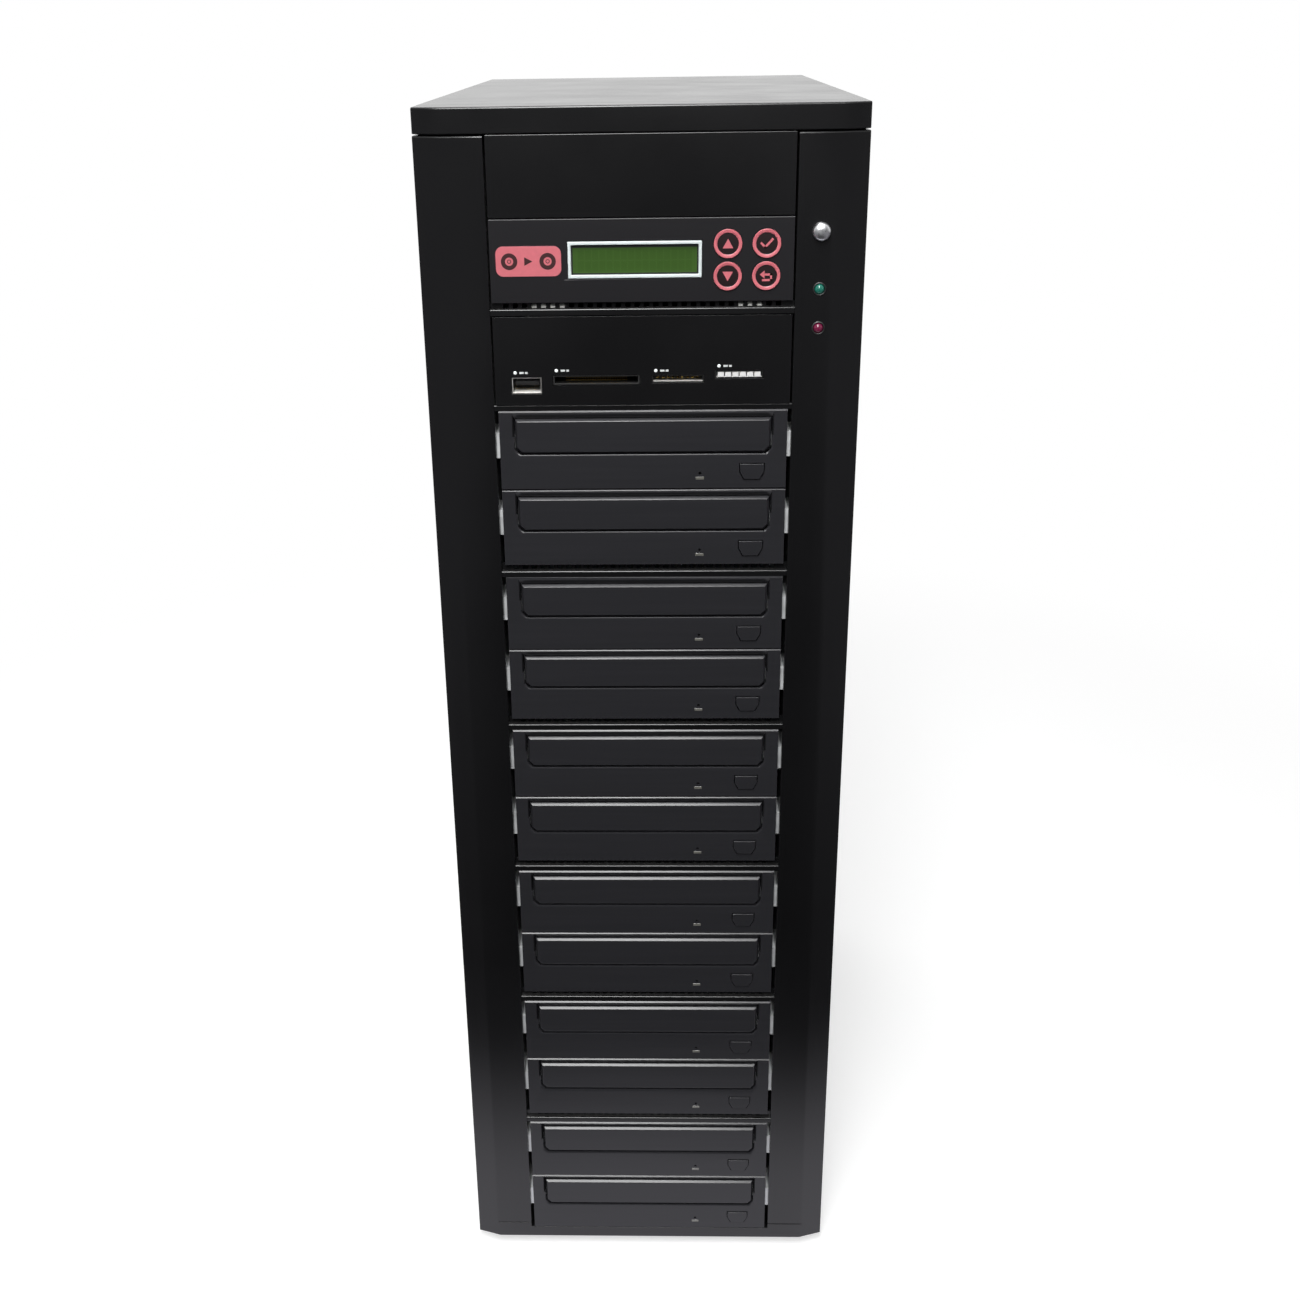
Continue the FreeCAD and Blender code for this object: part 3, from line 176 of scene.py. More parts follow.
# Finishes by the common name of their material. The base is a colour of the panel or an sRGB hex value, and
# varies by a share, change, over the patches of a noise. Rough is a number, or two that it runs between over
# these patches or over dull ones. Relief is a depth, then patches. Patches are a width, a detail, and a
# stretch, under one where they are drawn out. Lengths are in millimetres.
FINISHES = {
    # Polyester powder coat on steel sheet: semi-gloss black with a soft orange peel
    "powder_coat": dict(base="case", change=0.12, patch=(45, 3), rough=(0.2, 0.25), relief=(0.012, 1.6)),
    # Black ABS from a spark-eroded tool: satin, with a fine even grain drawn as coarse as shows
    "moulded_abs": dict(base="front", change=0.1, patch=(60, 3), rough=(0.2, 0.25), relief=(0.012, 0.9)),
    # Velvet polycarbonate film: an even dark grey with almost no relief
    "overlay_film": dict(base="overlay", change=0.06, patch=(30,), rough=0.36, relief=(0.012, 0.8),
                         sockets={"Specular IOR Level": 0.34}),
    # ABS of the drive fronts: matte, a shade lighter than the case, with faint flow lines along X
    "drive_abs": dict(base="drive", change=0.08, patch=(2.2, 2, (0.03, 1, 1)), rough=(0.19, 0.24),
                      relief=(0.015, 0.8), sockets={"Specular IOR Level": 0.34}),
    # Galvanised steel: pale grey metal under a dull bloom, with soft spangle and rolling marks
    "zinc_plate": dict(base="#dfe1e2", change=0.08, patch=(5, 1), rough=(0.46, 0.58), metal=0.55,
                       relief=(0.01, 0.9, 2, (1, 0.04, 1))),
    # Nickel-plated socket steel: smoother than zinc
    "plated_contact": dict(base="#e2dfda", change=0.08, patch=(3,), rough=(0.34, 0.46), dull=(2,), metal=1),
    # Matte tin plate: pale, and rough enough to shine evenly from any side
    "tin_plate": dict(base="#eeeeea", change=0.06, patch=(1.5,), rough=(0.6, 0.75), dull=(2,), metal=0.6),
    # Undyed nylon of a socket's comb: white, with a soft shine
    "white_nylon": dict(base="#eeeeec", change=0.05, patch=(2,), rough=0.4),
    # Gold flash on spring contacts: smooth and warm
    "gold_contact": dict(base="#e0b765", change=0.1, patch=(1.5,), rough=0.25, metal=1),
    # Satin chrome on a turned button: bright, with a fine haze
    "satin_chrome": dict(base="#e9eaec", change=0.03, patch=(2,), rough=(0.26, 0.34), metal=1),
    # Glass-filled nylon of fans and mains fittings: black, a little rougher than the front
    "moulded_nylon": dict(base="#151515", change=0.15, patch=(12,), rough=(0.42, 0.55), dull=(1.2,),
                          relief=(0.02, 0.9)),
    # Green solder mask: glossy lacquer with darker and lighter tracks under it
    "solder_mask": dict(base="#14502d", change=0.35, patch=(1.6, 1, (1, 0.2, 0.2)), rough=0.3,
                        relief=(0.03, 1.6, 1, (1, 0.2, 0.2))),
    # Screen-printed ink: satin, with slightly uneven cover
    "printed_ink": dict(change=0.08, patch=(2.5,), rough=0.45),
    # Dark translucent film on a key: near black with a red cast
    "key_film": dict(base="key", change=0.15, patch=(4,), rough=0.35),
    # Character display under a clear cover: a lit green ground with a gloss over it
    "display_glass": dict(change=0.12, patch=(22, 2), rough=0.3,
                          sockets={"Coat Weight": 0.6, "Coat Roughness": 0.06}),
    # Tinted epoxy of a small lamp: smooth, with a clear skin
    "lamp_lens": dict(change=0.05, patch=(4, 1), rough=0.16,
                      sockets={"Coat Weight": 0.5, "Coat Roughness": 0.04}),
    # Black rubber: matte, dusty and a little uneven
    "foot_rubber": dict(base="#1b1a19", change=0.25, patch=(3, 4), rough=0.85, relief=(0.04, 1.1)),
    # Nickel-plated screws: bright, with dull marks
    "plated_screw": dict(base="#b9b7b2", change=0.15, patch=(1.5, 3), rough=(0.22, 0.4), metal=1),
}


def emptied(owner):
    """The node tree of a material or a world, without its nodes."""
    owner.use_nodes = True
    owner.node_tree.nodes.clear()
    return owner.node_tree


def finish(kind, name=None, base=None, glow=0):
    """The material of a finish, made once. Its own name and base make a variant, and a glow lights it."""
    name = name or kind
    made = bpy.data.materials.get(name)
    if made:
        return made
    given = FINISHES[kind]
    base = base or given["base"]
    base = linear(base) if base.startswith("#") else getattr(bpy.context.scene.tower_colours, base)
    made = bpy.data.materials.new(name)
    tree = emptied(made)
    place = add(tree, "ShaderNodeTexCoord").outputs["Object"]

    def noise(width, detail=2.0, stretch=(1, 1, 1)):
        drawn = add(tree, "ShaderNodeMapping", {"Vector": place, "Scale": stretch})
        return add(tree, "ShaderNodeTexNoise", {"Vector": drawn.outputs[0], "Scale": 1 / (width * MM),
                                                "Detail": detail}).outputs[0]
    cloud = noise(*given["patch"])
    darker, lighter = (tuple(c * (1 + way * given["change"]) for c in base[:3]) + (1,) for way in (-1, 1))
    tint = add(tree, "ShaderNodeMix", {0: cloud, 6: darker, 7: lighter}, data_type="RGBA").outputs[2]
    sockets = {"Base Color": tint, "Roughness": given["rough"], "Metallic": given.get("metal", 0),
               **given.get("sockets", {})}
    if isinstance(given["rough"], tuple):
        low, high = given["rough"]
        dull = noise(*given["dull"]) if "dull" in given else cloud
        sockets["Roughness"] = add(tree, "ShaderNodeMapRange",
                                   dict(zip(RANGE, (dull, 0.3, 0.7, low, high)))).outputs[0]
    if "relief" in given:
        depth, *grain = given["relief"]
        sockets["Normal"] = add(tree, "ShaderNodeBump", {"Height": noise(*grain), "Distance": depth * MM,
                                                         "Strength": 0.6}).outputs[0]
    if glow:
        sockets.update({"Emission Color": tint, "Emission Strength": glow})
    shader = add(tree, "ShaderNodeBsdfPrincipled", sockets)
    add(tree, "ShaderNodeOutputMaterial", {"Surface": shader.outputs[0]})
    return made


def linked(name, data):
    """A new object of the scene, at the origin."""
    obj = bpy.data.objects.new(name, data)
    bpy.context.scene.collection.objects.link(obj)
    return obj


def as_mesh(edit, name, corners=True):
    """The mesh of a bmesh, shaded smooth but for its corners."""
    mesh = bpy.data.meshes.new(name)
    edit.to_mesh(mesh)
    edit.free()
    mesh.shade_smooth()
    if corners:
        mesh.set_sharp_from_angle(angle=CORNER_ANGLE)
    return mesh


def piece(name, shape, body, slot, materials, *replaced):
    """Links a mesh or a bmesh as a piece that rides on a body and stands for CAD nodes."""
    mesh = as_mesh(shape, name) if isinstance(shape, bmesh.types.BMesh) else shape
    obj = linked(name, mesh)
    mesh.materials.clear()
    for material in materials:
        mesh.materials.append(material)
    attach(obj, body)
    if replaced:
        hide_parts(*replaced)
    return obj


def settled(obj):
    """The plain mesh of an object with modifiers, which goes."""
    graph = bpy.context.evaluated_depsgraph_get()
    mesh = bpy.data.meshes.new_from_object(obj.evaluated_get(graph))
    obj.modifiers.clear()
    bpy.data.objects.remove(obj)
    return mesh


def merged(node):
    """A bmesh copy of a CAD node with its loose triangles joined into whole flat faces."""
    edit = bmesh.new()
    edit.from_mesh(NODES[node].data)
    bmesh.ops.remove_doubles(edit, verts=edit.verts, dist=MERGE)
    bmesh.ops.dissolve_limit(edit, angle_limit=FLAT_ANGLE, verts=edit.verts, edges=edit.edges)
    return edit


def ease_tops(edit, radius, steps):
    """Rounds, or with one step chamfers, the long edges between the foremost faces and their tops."""
    front = min(vert.co.y for vert in edit.verts)
    half_up = max(vert.co.z for vert in edit.verts) / 2
    edges = []
    for edge in edit.edges:
        if len(edge.link_faces) != 2 or not edge.is_convex or edge.calc_length() < LONG_EDGE:
            continue
        forward = min(face.normal.y for face in edge.link_faces) < -0.9
        upward = max(face.normal.z for face in edge.link_faces) > 0.9
        foremost = min(vert.co.y for vert in edge.verts) < front + 0.2 * MM
        whole = edge.calc_length() > 5 * LONG_EDGE or edge.verts[0].co.z > half_up
        if forward and upward and foremost and whole:
            edges.append(edge)
    bmesh.ops.bevel(edit, geom=edges, offset=radius, segments=steps, profile=0.5, affect="EDGES",
                    clamp_overlap=False)


def rounded(edit, name, radius, segments=2):
    """The mesh of a bmesh with every sharp edge rounded, shaded smooth over the rounding."""
    obj = linked(name, as_mesh(edit, name, corners=False))
    bevel = obj.modifiers.new("edges", "BEVEL")
    bevel.width = radius
    bevel.segments = segments
    bevel.limit_method = "ANGLE"
    bevel.angle_limit = CORNER_ANGLE
    flat = obj.modifiers.new("flat_faces", "WEIGHTED_NORMAL")
    flat.weight = 100
    return settled(obj)


def dressed(node, radius, slot, materials, segments=2, choose=None, top=0.0, top_steps=4):
    """A CAD node's own form with rounded corners, and a material chosen for each face by its middle."""
    edit = merged(node)
    if top:
        ease_tops(edit, top, top_steps)
    mesh = rounded(edit, f"{node}_form", radius, segments)
    made = piece(f"{node}_finished", mesh, NODES[node]["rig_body"], slot, materials, node)
    if choose:
        for face in mesh.polygons:
            face.material_index = choose(face.center)
    return made


def repaint(node, material):
    """Gives a CAD node that keeps its own shape a better material."""
    NODES[node].data.materials.clear()
    NODES[node].data.materials.append(material)


def turned(profile, steps, closed=False, relief=None):
    """A bmesh turned about Z from (radius, height) points, with poles where the radius is zero."""
    edit = bmesh.new()
    rings = []
    for radius, height in profile:
        if radius == 0:
            rings.append([edit.verts.new((0, 0, height))] * steps)
            continue
        ring = []
        for step in range(steps):
            angle = math.tau * step / steps
            out, up = relief(radius, angle, height) if relief else (radius, height)
            ring.append(edit.verts.new((out * math.cos(angle), out * math.sin(angle), up)))
        rings.append(ring)
    pairs = list(zip(rings, rings[1:])) + ([(rings[-1], rings[0])] if closed else [])
    for low, high in pairs:
        for step in range(steps):
            after = (step + 1) % steps
            corners = [low[step], low[after], high[after], high[step]]
            corners = [corner for i, corner in enumerate(corners) if corner not in corners[:i]]
            edit.faces.new(corners)
    bmesh.ops.recalc_face_normals(edit, faces=edit.faces)
    return edit


def stood(edit, place, direction):
    """Turns a bmesh's Z to a direction and puts it at a place."""
    turn = DIRECTIONS[direction].to_track_quat("Z", "Y").to_matrix().to_4x4()
    edit.transform(Matrix.Translation(place) @ turn)
    return edit


def standing(profile, middle, steps, y_face=FRONT_Y, closed=False):
    """A bmesh turned from a profile that stands at an X and Z on a face which looks forward."""
    return stood(turned(profile, steps, closed), Vector((middle[0], y_face, middle[1])), "front")


def printed(outlines, y_face, height):
    """A bmesh of flat shapes, given as X and Z points, that stand on a face which looks forward."""
    edit = bmesh.new()
    for outline in outlines:
        back = [edit.verts.new((x, y_face, z)) for x, z in outline]
        front = [edit.verts.new((x, y_face - height, z)) for x, z in outline]
        edit.faces.new(front)
        edit.faces.new(back[::-1])
        for i in range(len(outline)):
            after = (i + 1) % len(outline)
            edit.faces.new([front[i], back[i], back[after], front[after]])
    bmesh.ops.recalc_face_normals(edit, faces=edit.faces)
    return edit


def rectangle(left, right, foot, top):
    """Points of a rectangle, in X and Z."""
    return [(left, foot), (right, foot), (right, top), (left, top)]


def round_rectangle(middle, width, height, radius):
    """Points of a rectangle with round corners, in X and Z."""
    points = []
    for quarter, (x_side, z_side) in enumerate(((1, 1), (-1, 1), (-1, -1), (1, -1))):
        for step in range(QUARTER_STEPS + 1):
            angle = math.radians(90) * (quarter + step / QUARTER_STEPS)
            points.append((middle[0] + x_side * (width / 2 - radius) + radius * math.cos(angle),
                           middle[1] + z_side * (height / 2 - radius) + radius * math.sin(angle)))
    return points


def ring_between(middle, inner, outer, y_face, height):
    """A flat printed ring on a face which looks forward."""
    return standing([(inner, 0), (inner, height), (outer, height), (outer, 0)], middle, 48, y_face, True)


def spring_finger(radius, width, thickness):
    """A bmesh of a bent strip: a quarter round about X that bulges forward and up from its foot at zero."""
    edit = bmesh.new()
    rows = []
    for step in range(SPRING_STEPS + 1):
        angle = math.radians(85) * step / SPRING_STEPS
        for reach in (radius, radius - thickness):
            y, z = -reach * math.cos(angle), reach * math.sin(angle)
            rows.append([edit.verts.new((side * width / 2, y, z)) for side in (-1, 1)])
    for step in range(SPRING_STEPS):
        outer, inner, next_outer, next_inner = rows[2 * step:2 * step + 4]
        edit.faces.new([outer[0], outer[1], next_outer[1], next_outer[0]])
        edit.faces.new([inner[1], inner[0], next_inner[0], next_inner[1]])
        for side in (0, 1):
            edit.faces.new([outer[side], next_outer[side], next_inner[side], inner[side]])
    for outer, inner in (rows[:2], rows[-2:]):
        edit.faces.new([outer[0], outer[1], inner[1], inner[0]])
    bmesh.ops.recalc_face_normals(edit, faces=edit.faces)
    return edit


def together(first, *others):
    """Adds bmeshes to the first one and frees them."""
    for other in others:
        spare = bpy.data.meshes.new("spare")
        other.to_mesh(spare)
        other.free()
        first.from_mesh(spare)
        bpy.data.meshes.remove(spare)
    return first


def grouped(name, inputs):
    """A geometry node group with named inputs, and the sockets of its input node."""
    tree = bpy.data.node_groups.new(name, "GeometryNodeTree")
    for label, kind in inputs.items():
        tree.interface.new_socket(label, in_out="INPUT", socket_type=f"NodeSocket{kind}")
    tree.interface.new_socket("Geometry", in_out="OUTPUT", socket_type="NodeSocketGeometry")
    return tree, add(tree, "NodeGroupInput").outputs


def end_with_copies(tree, inputs, paint):
    """Ends a node group with copies on points that are made real and given their material."""
    copies = add(tree, "GeometryNodeInstanceOnPoints", inputs)
    real = add(tree, "GeometryNodeRealizeInstances", {"Geometry": copies.outputs["Instances"]})
    painted = add(tree, "GeometryNodeSetMaterial", {"Geometry": real.outputs["Geometry"], "Material": paint})
    add(tree, "NodeGroupOutput", {"Geometry": painted.outputs["Geometry"]})


def copies_tree(name):
    """A node group that puts copies of one object on every point of its geometry."""
    tree, given = grouped(name, {"Geometry": "Geometry", "Piece": "Object", "Scale": "Float",
                                 "Material": "Material"})
    single = add(tree, "GeometryNodeObjectInfo", {"Object": given["Piece"]})
    end_with_copies(tree, {"Points": given["Geometry"], "Instance": single.outputs["Geometry"],
                           "Scale": given["Scale"]}, given["Material"])
    return tree


GRID_INPUTS = {"Columns": "Int", "Rows": "Int", "Pitch Across": "Float", "Pitch Up": "Float",
               "Width": "Float", "Depth": "Float", "Height": "Float", "Middle": "Vector",
               "Material": "Material"}


def grid_tree():
    """A node group that makes rows and columns of small blocks, level with X and Z."""
    tree, given = grouped("rows_of_blocks", GRID_INPUTS)
    spans = []
    for count, pitch in (("Columns", "Pitch Across"), ("Rows", "Pitch Up")):
        steps = add(tree, "ShaderNodeMath", {0: given[count], 1: 1.0}, operation="SUBTRACT")
        spans.append(add(tree, "ShaderNodeMath", {0: steps.outputs[0], 1: given[pitch]},
                         operation="MULTIPLY").outputs[0])
    grid = add(tree, "GeometryNodeMeshGrid", {"Size X": spans[0], "Size Y": spans[1],
                                              "Vertices X": given["Columns"], "Vertices Y": given["Rows"]})
    upright = add(tree, "GeometryNodeTransform", {"Geometry": grid.outputs["Mesh"],
                                                  "Translation": given["Middle"],
                                                  "Rotation": (math.radians(90), 0, 0)})
    size = add(tree, "ShaderNodeCombineXYZ", {"X": given["Width"], "Y": given["Depth"], "Z": given["Height"]})
    block = add(tree, "GeometryNodeMeshCube", {"Size": size.outputs[0]})
    end_with_copies(tree, {"Points": upright.outputs["Geometry"], "Instance": block.outputs["Mesh"]},
                    given["Material"])
    return tree


def grown(name, mesh, tree, values):
    """The plain mesh that a node group makes from a mesh and its named inputs."""
    obj = linked(name, mesh)
    modifier = obj.modifiers.new("grown", "NODES")
    modifier.node_group = tree
    for item in tree.interface.items_tree:
        if item.in_out == "INPUT" and item.name in values:
            modifier[item.identifier] = values[item.name]
    return settled(obj)


def blocks(name, slot, *values):
    """A piece of the case that is rows and columns of small blocks; the values are the tree's inputs."""
    tree = bpy.data.node_groups.get("rows_of_blocks") or grid_tree()
    mesh = grown(name, bpy.data.meshes.new(name), tree, dict(zip(GRID_INPUTS, values)))
    piece(name, mesh, "case", slot, [values[-1]])


def scattered(name, single, places, slot, paint, *replaced):
    """A piece of the case that is one small mesh at many places."""
    master = linked("single", single)
    points = bpy.data.meshes.new("places")
    points.from_pydata(places, [], [])
    made = grown(name, points, copies_tree(name), {"Piece": master, "Scale": 1.0, "Material": paint})
    piece(name, made, "case", slot, [paint], *replaced)
    bpy.data.objects.remove(master)


def islands(edit):
    """The separate solids of a bmesh, which is freed, as the lowest and highest corner of each."""
    seen = set()
    boxes = []
    for seed in edit.verts:
        if seed in seen:
            continue
        seen.add(seed)
        found = [seed]
        for vert in found:
            for edge in vert.link_edges:
                other = edge.other_vert(vert)
                if other not in seen:
                    seen.add(other)
                    found.append(other)
        boxes.append(tuple(Vector([pick(vert.co[axis] for vert in found) for axis in range(3)])
                           for pick in (min, max)))
    edit.free()
    return boxes


def size_of(box):
    return (box[1] - box[0]).length


def round_button(name):
    """The middle in X and Z of a round button, its radius, and its reach before and behind the front."""
    low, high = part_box(name)
    middle = (low + high) / 2
    return (middle.x, middle.z), (high.x - low.x) / 2, FRONT_Y - low.y, high.y - FRONT_Y


def inside(place, box, margin=0.0):
    low, high = box
    return all(low[axis] - margin <= place[axis] <= high[axis] + margin for axis in range(3))


class TOWER_OT_case(bpy.types.Operator):
    """Round the corners of the steel case and powder-coat it"""

    bl_idname = "tower.case"
    bl_label = "Steel case"

    def execute(self, context):
        sizes = context.scene.tower_sizes
        paint = [finish("powder_coat")]
        for node in ("top_cover", "side_panel_left", "side_panel_right", "base_pan"):
            dressed(node, sizes.sheet_edge, "case_paint", paint)
        dressed("back_panel", sizes.small_edge / 2, "case_paint", paint, segments=1)
        for node in ("drive_cage", "drive_shells"):
            repaint(node, finish("zinc_plate"))
        return {"FINISHED"}


class TOWER_OT_front(bpy.types.Operator):
    """Round the moulded front, its cap, the blank cover and the vent strips, and add the earthing springs"""

    bl_idname = "tower.front"
    bl_label = "Moulded front"

    def execute(self, context):
        sizes = context.scene.tower_sizes
        paint = [finish("moulded_abs")]
        for node in ("front_bezel", "bezel_cap"):
            dressed(node, sizes.moulded_edge, "front_plastic", paint, 3, top=sizes.moulded_top)
        dressed("blank_cover", sizes.panel_edge, "front_plastic", paint)
        dressed("vent_strips", sizes.small_edge, "front_plastic", paint, top=sizes.drive_top)
        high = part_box("vent_strips")[1]
        foot = high.z - (SLOT_TOP + SLOT_HEIGHT + SPRING_DROP) * MM
        places = [((slot + 0.5) * SLOT_PITCH * MM, high.y + sizes.spring_radius, foot)
                  for slot in SPRING_SLOTS]
        single = spring_finger(sizes.spring_radius, sizes.spring_width, SPRING_THICKNESS * MM)
        scattered("earthing_springs", as_mesh(single, "single_spring"), places, "front_plastic",
                  finish("tin_plate"))
        return {"FINISHED"}


class TOWER_OT_drives(bpy.types.Operator):
    """Round the drive fronts, trays and eject buttons, and give the drives their lamps"""

    bl_idname = "tower.drives"
    bl_label = "Disc drives"

    def execute(self, context):
        sizes = context.scene.tower_sizes
        paint = [finish("drive_abs")]
        dressed("drive_bezels", sizes.small_edge, "drive_plastic", paint, top=sizes.drive_top, top_steps=1)
        for number in DRIVE_NAMES:
            dressed(f"tray_{number}", sizes.drive_edge, "drive_plastic", paint)
            dressed(f"eject_button_{number}", sizes.small_edge, "drive_plastic", paint)
        dressed("drive_lamps", sizes.small_edge, "drive_lamp", [finish("lamp_lens", "drive_lens", "#6f6e68")])
        return {"FINISHED"}


class TOWER_OT_controller(bpy.types.Operator):
    """Make the controller's panel, its screen with character cells, and the plate beside it"""

    bl_idname = "tower.controller"
    bl_label = "Controller"

    def execute(self, context):
        sizes = context.scene.tower_sizes
        dressed("controller_panel", sizes.panel_edge, "panel_plastic", [finish("overlay_film")],
                top=sizes.moulded_top / 2)
        dressed("screen_frame", sizes.panel_edge, "screen_rim", [finish("printed_ink", "rim_print", "rim")])
        dressed("screen_window", sizes.small_edge, "screen_glass",
                [finish("display_glass", "display", "display", DISPLAY_GLOW)])
        dressed("controller_board", sizes.small_edge / 2, "circuit_board", [finish("solder_mask")], 1)
        self.screen(sizes)
        self.plate(sizes)
        return {"FINISHED"}

    def screen(self, sizes):
        """The character cells, and the display's dark edge: a dark border at the sides, and painted shadow of
        the frame that widens it along the top.
        """
        low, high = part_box("screen_window")
        outer_low, outer_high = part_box("screen_frame")
        rim = RIM_SHARE * (outer_high.z - outer_low.z)
        left, right, foot, top = low.x + rim, high.x - rim, low.z + rim, high.z - rim
        # The top bar is wider: past the dark border it holds painted shadow of the frame.
        inner_foot, inner_top = foot + sizes.border_width, top - sizes.border_top
        blocks("character_cells", "screen_glass", sizes.cell_columns, sizes.cell_rows,
               sizes.cell_width + sizes.cell_gap, sizes.cell_height + sizes.cell_gap,
               sizes.cell_width, sizes.print_height, sizes.cell_height,
               ((left + right) / 2, low.y, (inner_foot + inner_top) / 2),
               finish("display_glass", "character_cells", "cell", DISPLAY_GLOW))
        # Near-black printed bars round the display. The side bars are the dark border, and the wider top bar
        # is painted shadow.
        bars = [rectangle(left, right, foot, inner_foot), rectangle(left, right, inner_top, top),
                rectangle(left, left + sizes.border_width, inner_foot, inner_top),
                rectangle(right - sizes.border_width, right, inner_foot, inner_top)]
        # Near-black ink for the dark border and for the painted shadow along its top.
        piece("screen_border", printed(bars, low.y, 1.5 * sizes.print_height), "case", "screen_glass",
              [finish("printed_ink", "border_ink", "#0b0f0a")])

    def plate(self, sizes):
        """A plain plate with two discs and an arrow between them."""
        low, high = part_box("controller_panel")
        x, z = low.x + sizes.badge_inset, (low.z + high.z) / 2
        width, height, mark = sizes.badge_width, sizes.badge_height, sizes.print_height
        base = printed([round_rectangle((x, z), width, height, height / 4)], FRONT_Y,
                       PLATE_MARKS * mark)
        piece("coloured_plate", rounded(base, "plate", mark), "case", "panel_plastic",
              [finish("printed_ink", "coral_ink", "coral")])
        face = FRONT_Y - PLATE_MARKS * mark
        radius = height / PLATE_DISC
        sign = printed([[(x - radius / 2, z - radius / 2), (x + radius / 2, z),
                         (x - radius / 2, z + radius / 2)]], face, mark)
        for side in (-1, 1):
            for inner, outer in ((radius / 2, radius), (radius / 6, radius / 4)):
                together(sign, ring_between((x + side * width / PLATE_SPREAD, z), inner, outer, face, mark))
        piece("plate_sign", sign, "case", "panel_plastic", [finish("printed_ink", "dark_ink", "coral_dark")])


# Signs of the keys in shares of their width: triangles, and the points of a line
SIGNS = {"up_button": ([[(-0.5, -0.42), (0.5, -0.42), (0, 0.46)]], ()),
         "down_button": ([[(0, -0.46), (0.5, 0.42), (-0.5, 0.42)]], ()),
         "ok_button": ([], ((-0.5, 0.0), (-0.15, -0.34), (0.52, 0.36))),
         "back_button": ([[(-0.62, 0.12), (-0.16, -0.26), (-0.16, 0.5)]],
                         ((-0.1, 0.12), (0.46, 0.12), (0.46, -0.4), (-0.3, -0.4)))}
HALF_STROKE = 0.1
DISH_SHARE = 0.62  # reach of a key's dish over the key's own


class TOWER_OT_keys(bpy.types.Operator):
    """Make the four round keys with their rings and signs"""

    bl_idname = "tower.keys"
    bl_label = "Keys"

    def execute(self, context):
        for name, (triangles, points) in SIGNS.items():
            self.key(name, triangles + self.stroke(points, HALF_STROKE), context.scene.tower_sizes)
        return {"FINISHED"}

    def stroke(self, points, half):
        """The four-cornered outlines of a line through some points, each bar with square ends."""
        outlines = []
        for (x0, z0), (x1, z1) in zip(points, points[1:]):
            along = math.hypot(x1 - x0, z1 - z0)
            ux, uz = (x1 - x0) / along * half, (z1 - z0) / along * half
            outlines.append([(x0 - ux + uz, z0 - uz - ux), (x1 + ux + uz, z1 + uz - ux),
                             (x1 + ux - uz, z1 + uz + ux), (x0 - ux - uz, z0 - uz + ux)])
        return outlines

    def key(self, name, sign, sizes):
        """A dished key with a raised ring, and its sign printed in the dish."""
        (x, z), radius, proud, deep = round_button(name)
        ring = radius - sizes.ring_width
        edge = sizes.small_edge
        dish = proud * DISH_SHARE
        profile = [(0, dish), (ring * 0.6, dish * 0.97), (ring - edge, dish * 0.9), (ring, proud - edge / 2),
                   (ring + edge, proud), (radius - edge, proud), (radius, proud - edge), (radius, -deep / 2),
                   (radius / 4, -deep / 2), (radius / 4, -deep), (0, -deep)]
        coral = finish("printed_ink", "coral_ink", "coral")
        made = piece(f"{name}_finished", standing(profile, (x, z), 64), name, "key_plastic",
                     [finish("key_film"), coral], name)
        for face in made.data.polygons:
            across = math.hypot(face.center.x - x, face.center.z - z)
            if across > ring - edge / 2 and face.center.y < FRONT_Y - proud / 2:
                face.material_index = 1
        outlines = [[(x + across * sizes.mark_size, z + up * sizes.mark_size) for across, up in outline]
                    for outline in sign]
        mark = printed(outlines, FRONT_Y - dish, sizes.print_height)
        piece(f"{name}_sign", mark, name, "key_plastic", [coral])


# In millimetres, sockets of the reader: middle across, width, rise over the panel's foot, and height
SOCKETS = {"usb": (-58.9, 15, 10.1, 8.2), "flash": (-23.4, 44, 12.7, 5), "card": (18, 26, 13, 3.6),
           "stick": (49, 24, 15, 3.8)}
# Contacts in them: columns, rows, pitch, width, height, start behind the front, and depth
CONTACTS = {"usb": (4, 1, 2.5, 1.0, 0.3, 4, 6, "gold_contact"),
            "flash": (25, 2, 1.27, 0.4, 0.4, 4, 3, "gold_contact"),
            "card": (9, 1, 2.5, 0.9, 0.4, 4, 4, "gold_contact"),
            "stick": (6, 1, 3.7, 3.1, 2.4, 0.3, 2, "white_nylon")}
# Plastic face round a socket, tin on its floor, and the board's top over the foot and start behind the front
FACE_DEPTH, FACE_WIDTH, FLOOR_TIN, BOARD_TOP, BOARD_START = 1.2, 1.5, 0.7, 4.6, 14
SOCKET_MARGIN, BOARD_SHARE = 0.15, 0.9  # how far inside a socket, and how near to the board's top, a face is
# Of a lamp over a socket, whose inset is from the socket's left end
LAMP_RADIUS, LAMP_DEPTH, LAMP_RISE, LAMP_INSET = 0.85, 2, 2.5, 1.8
MARKS, MARK_HALF = ((2.2, 2.2), (5.0, 1.4)), 0.5  # start beside the lamp and length, and half their height


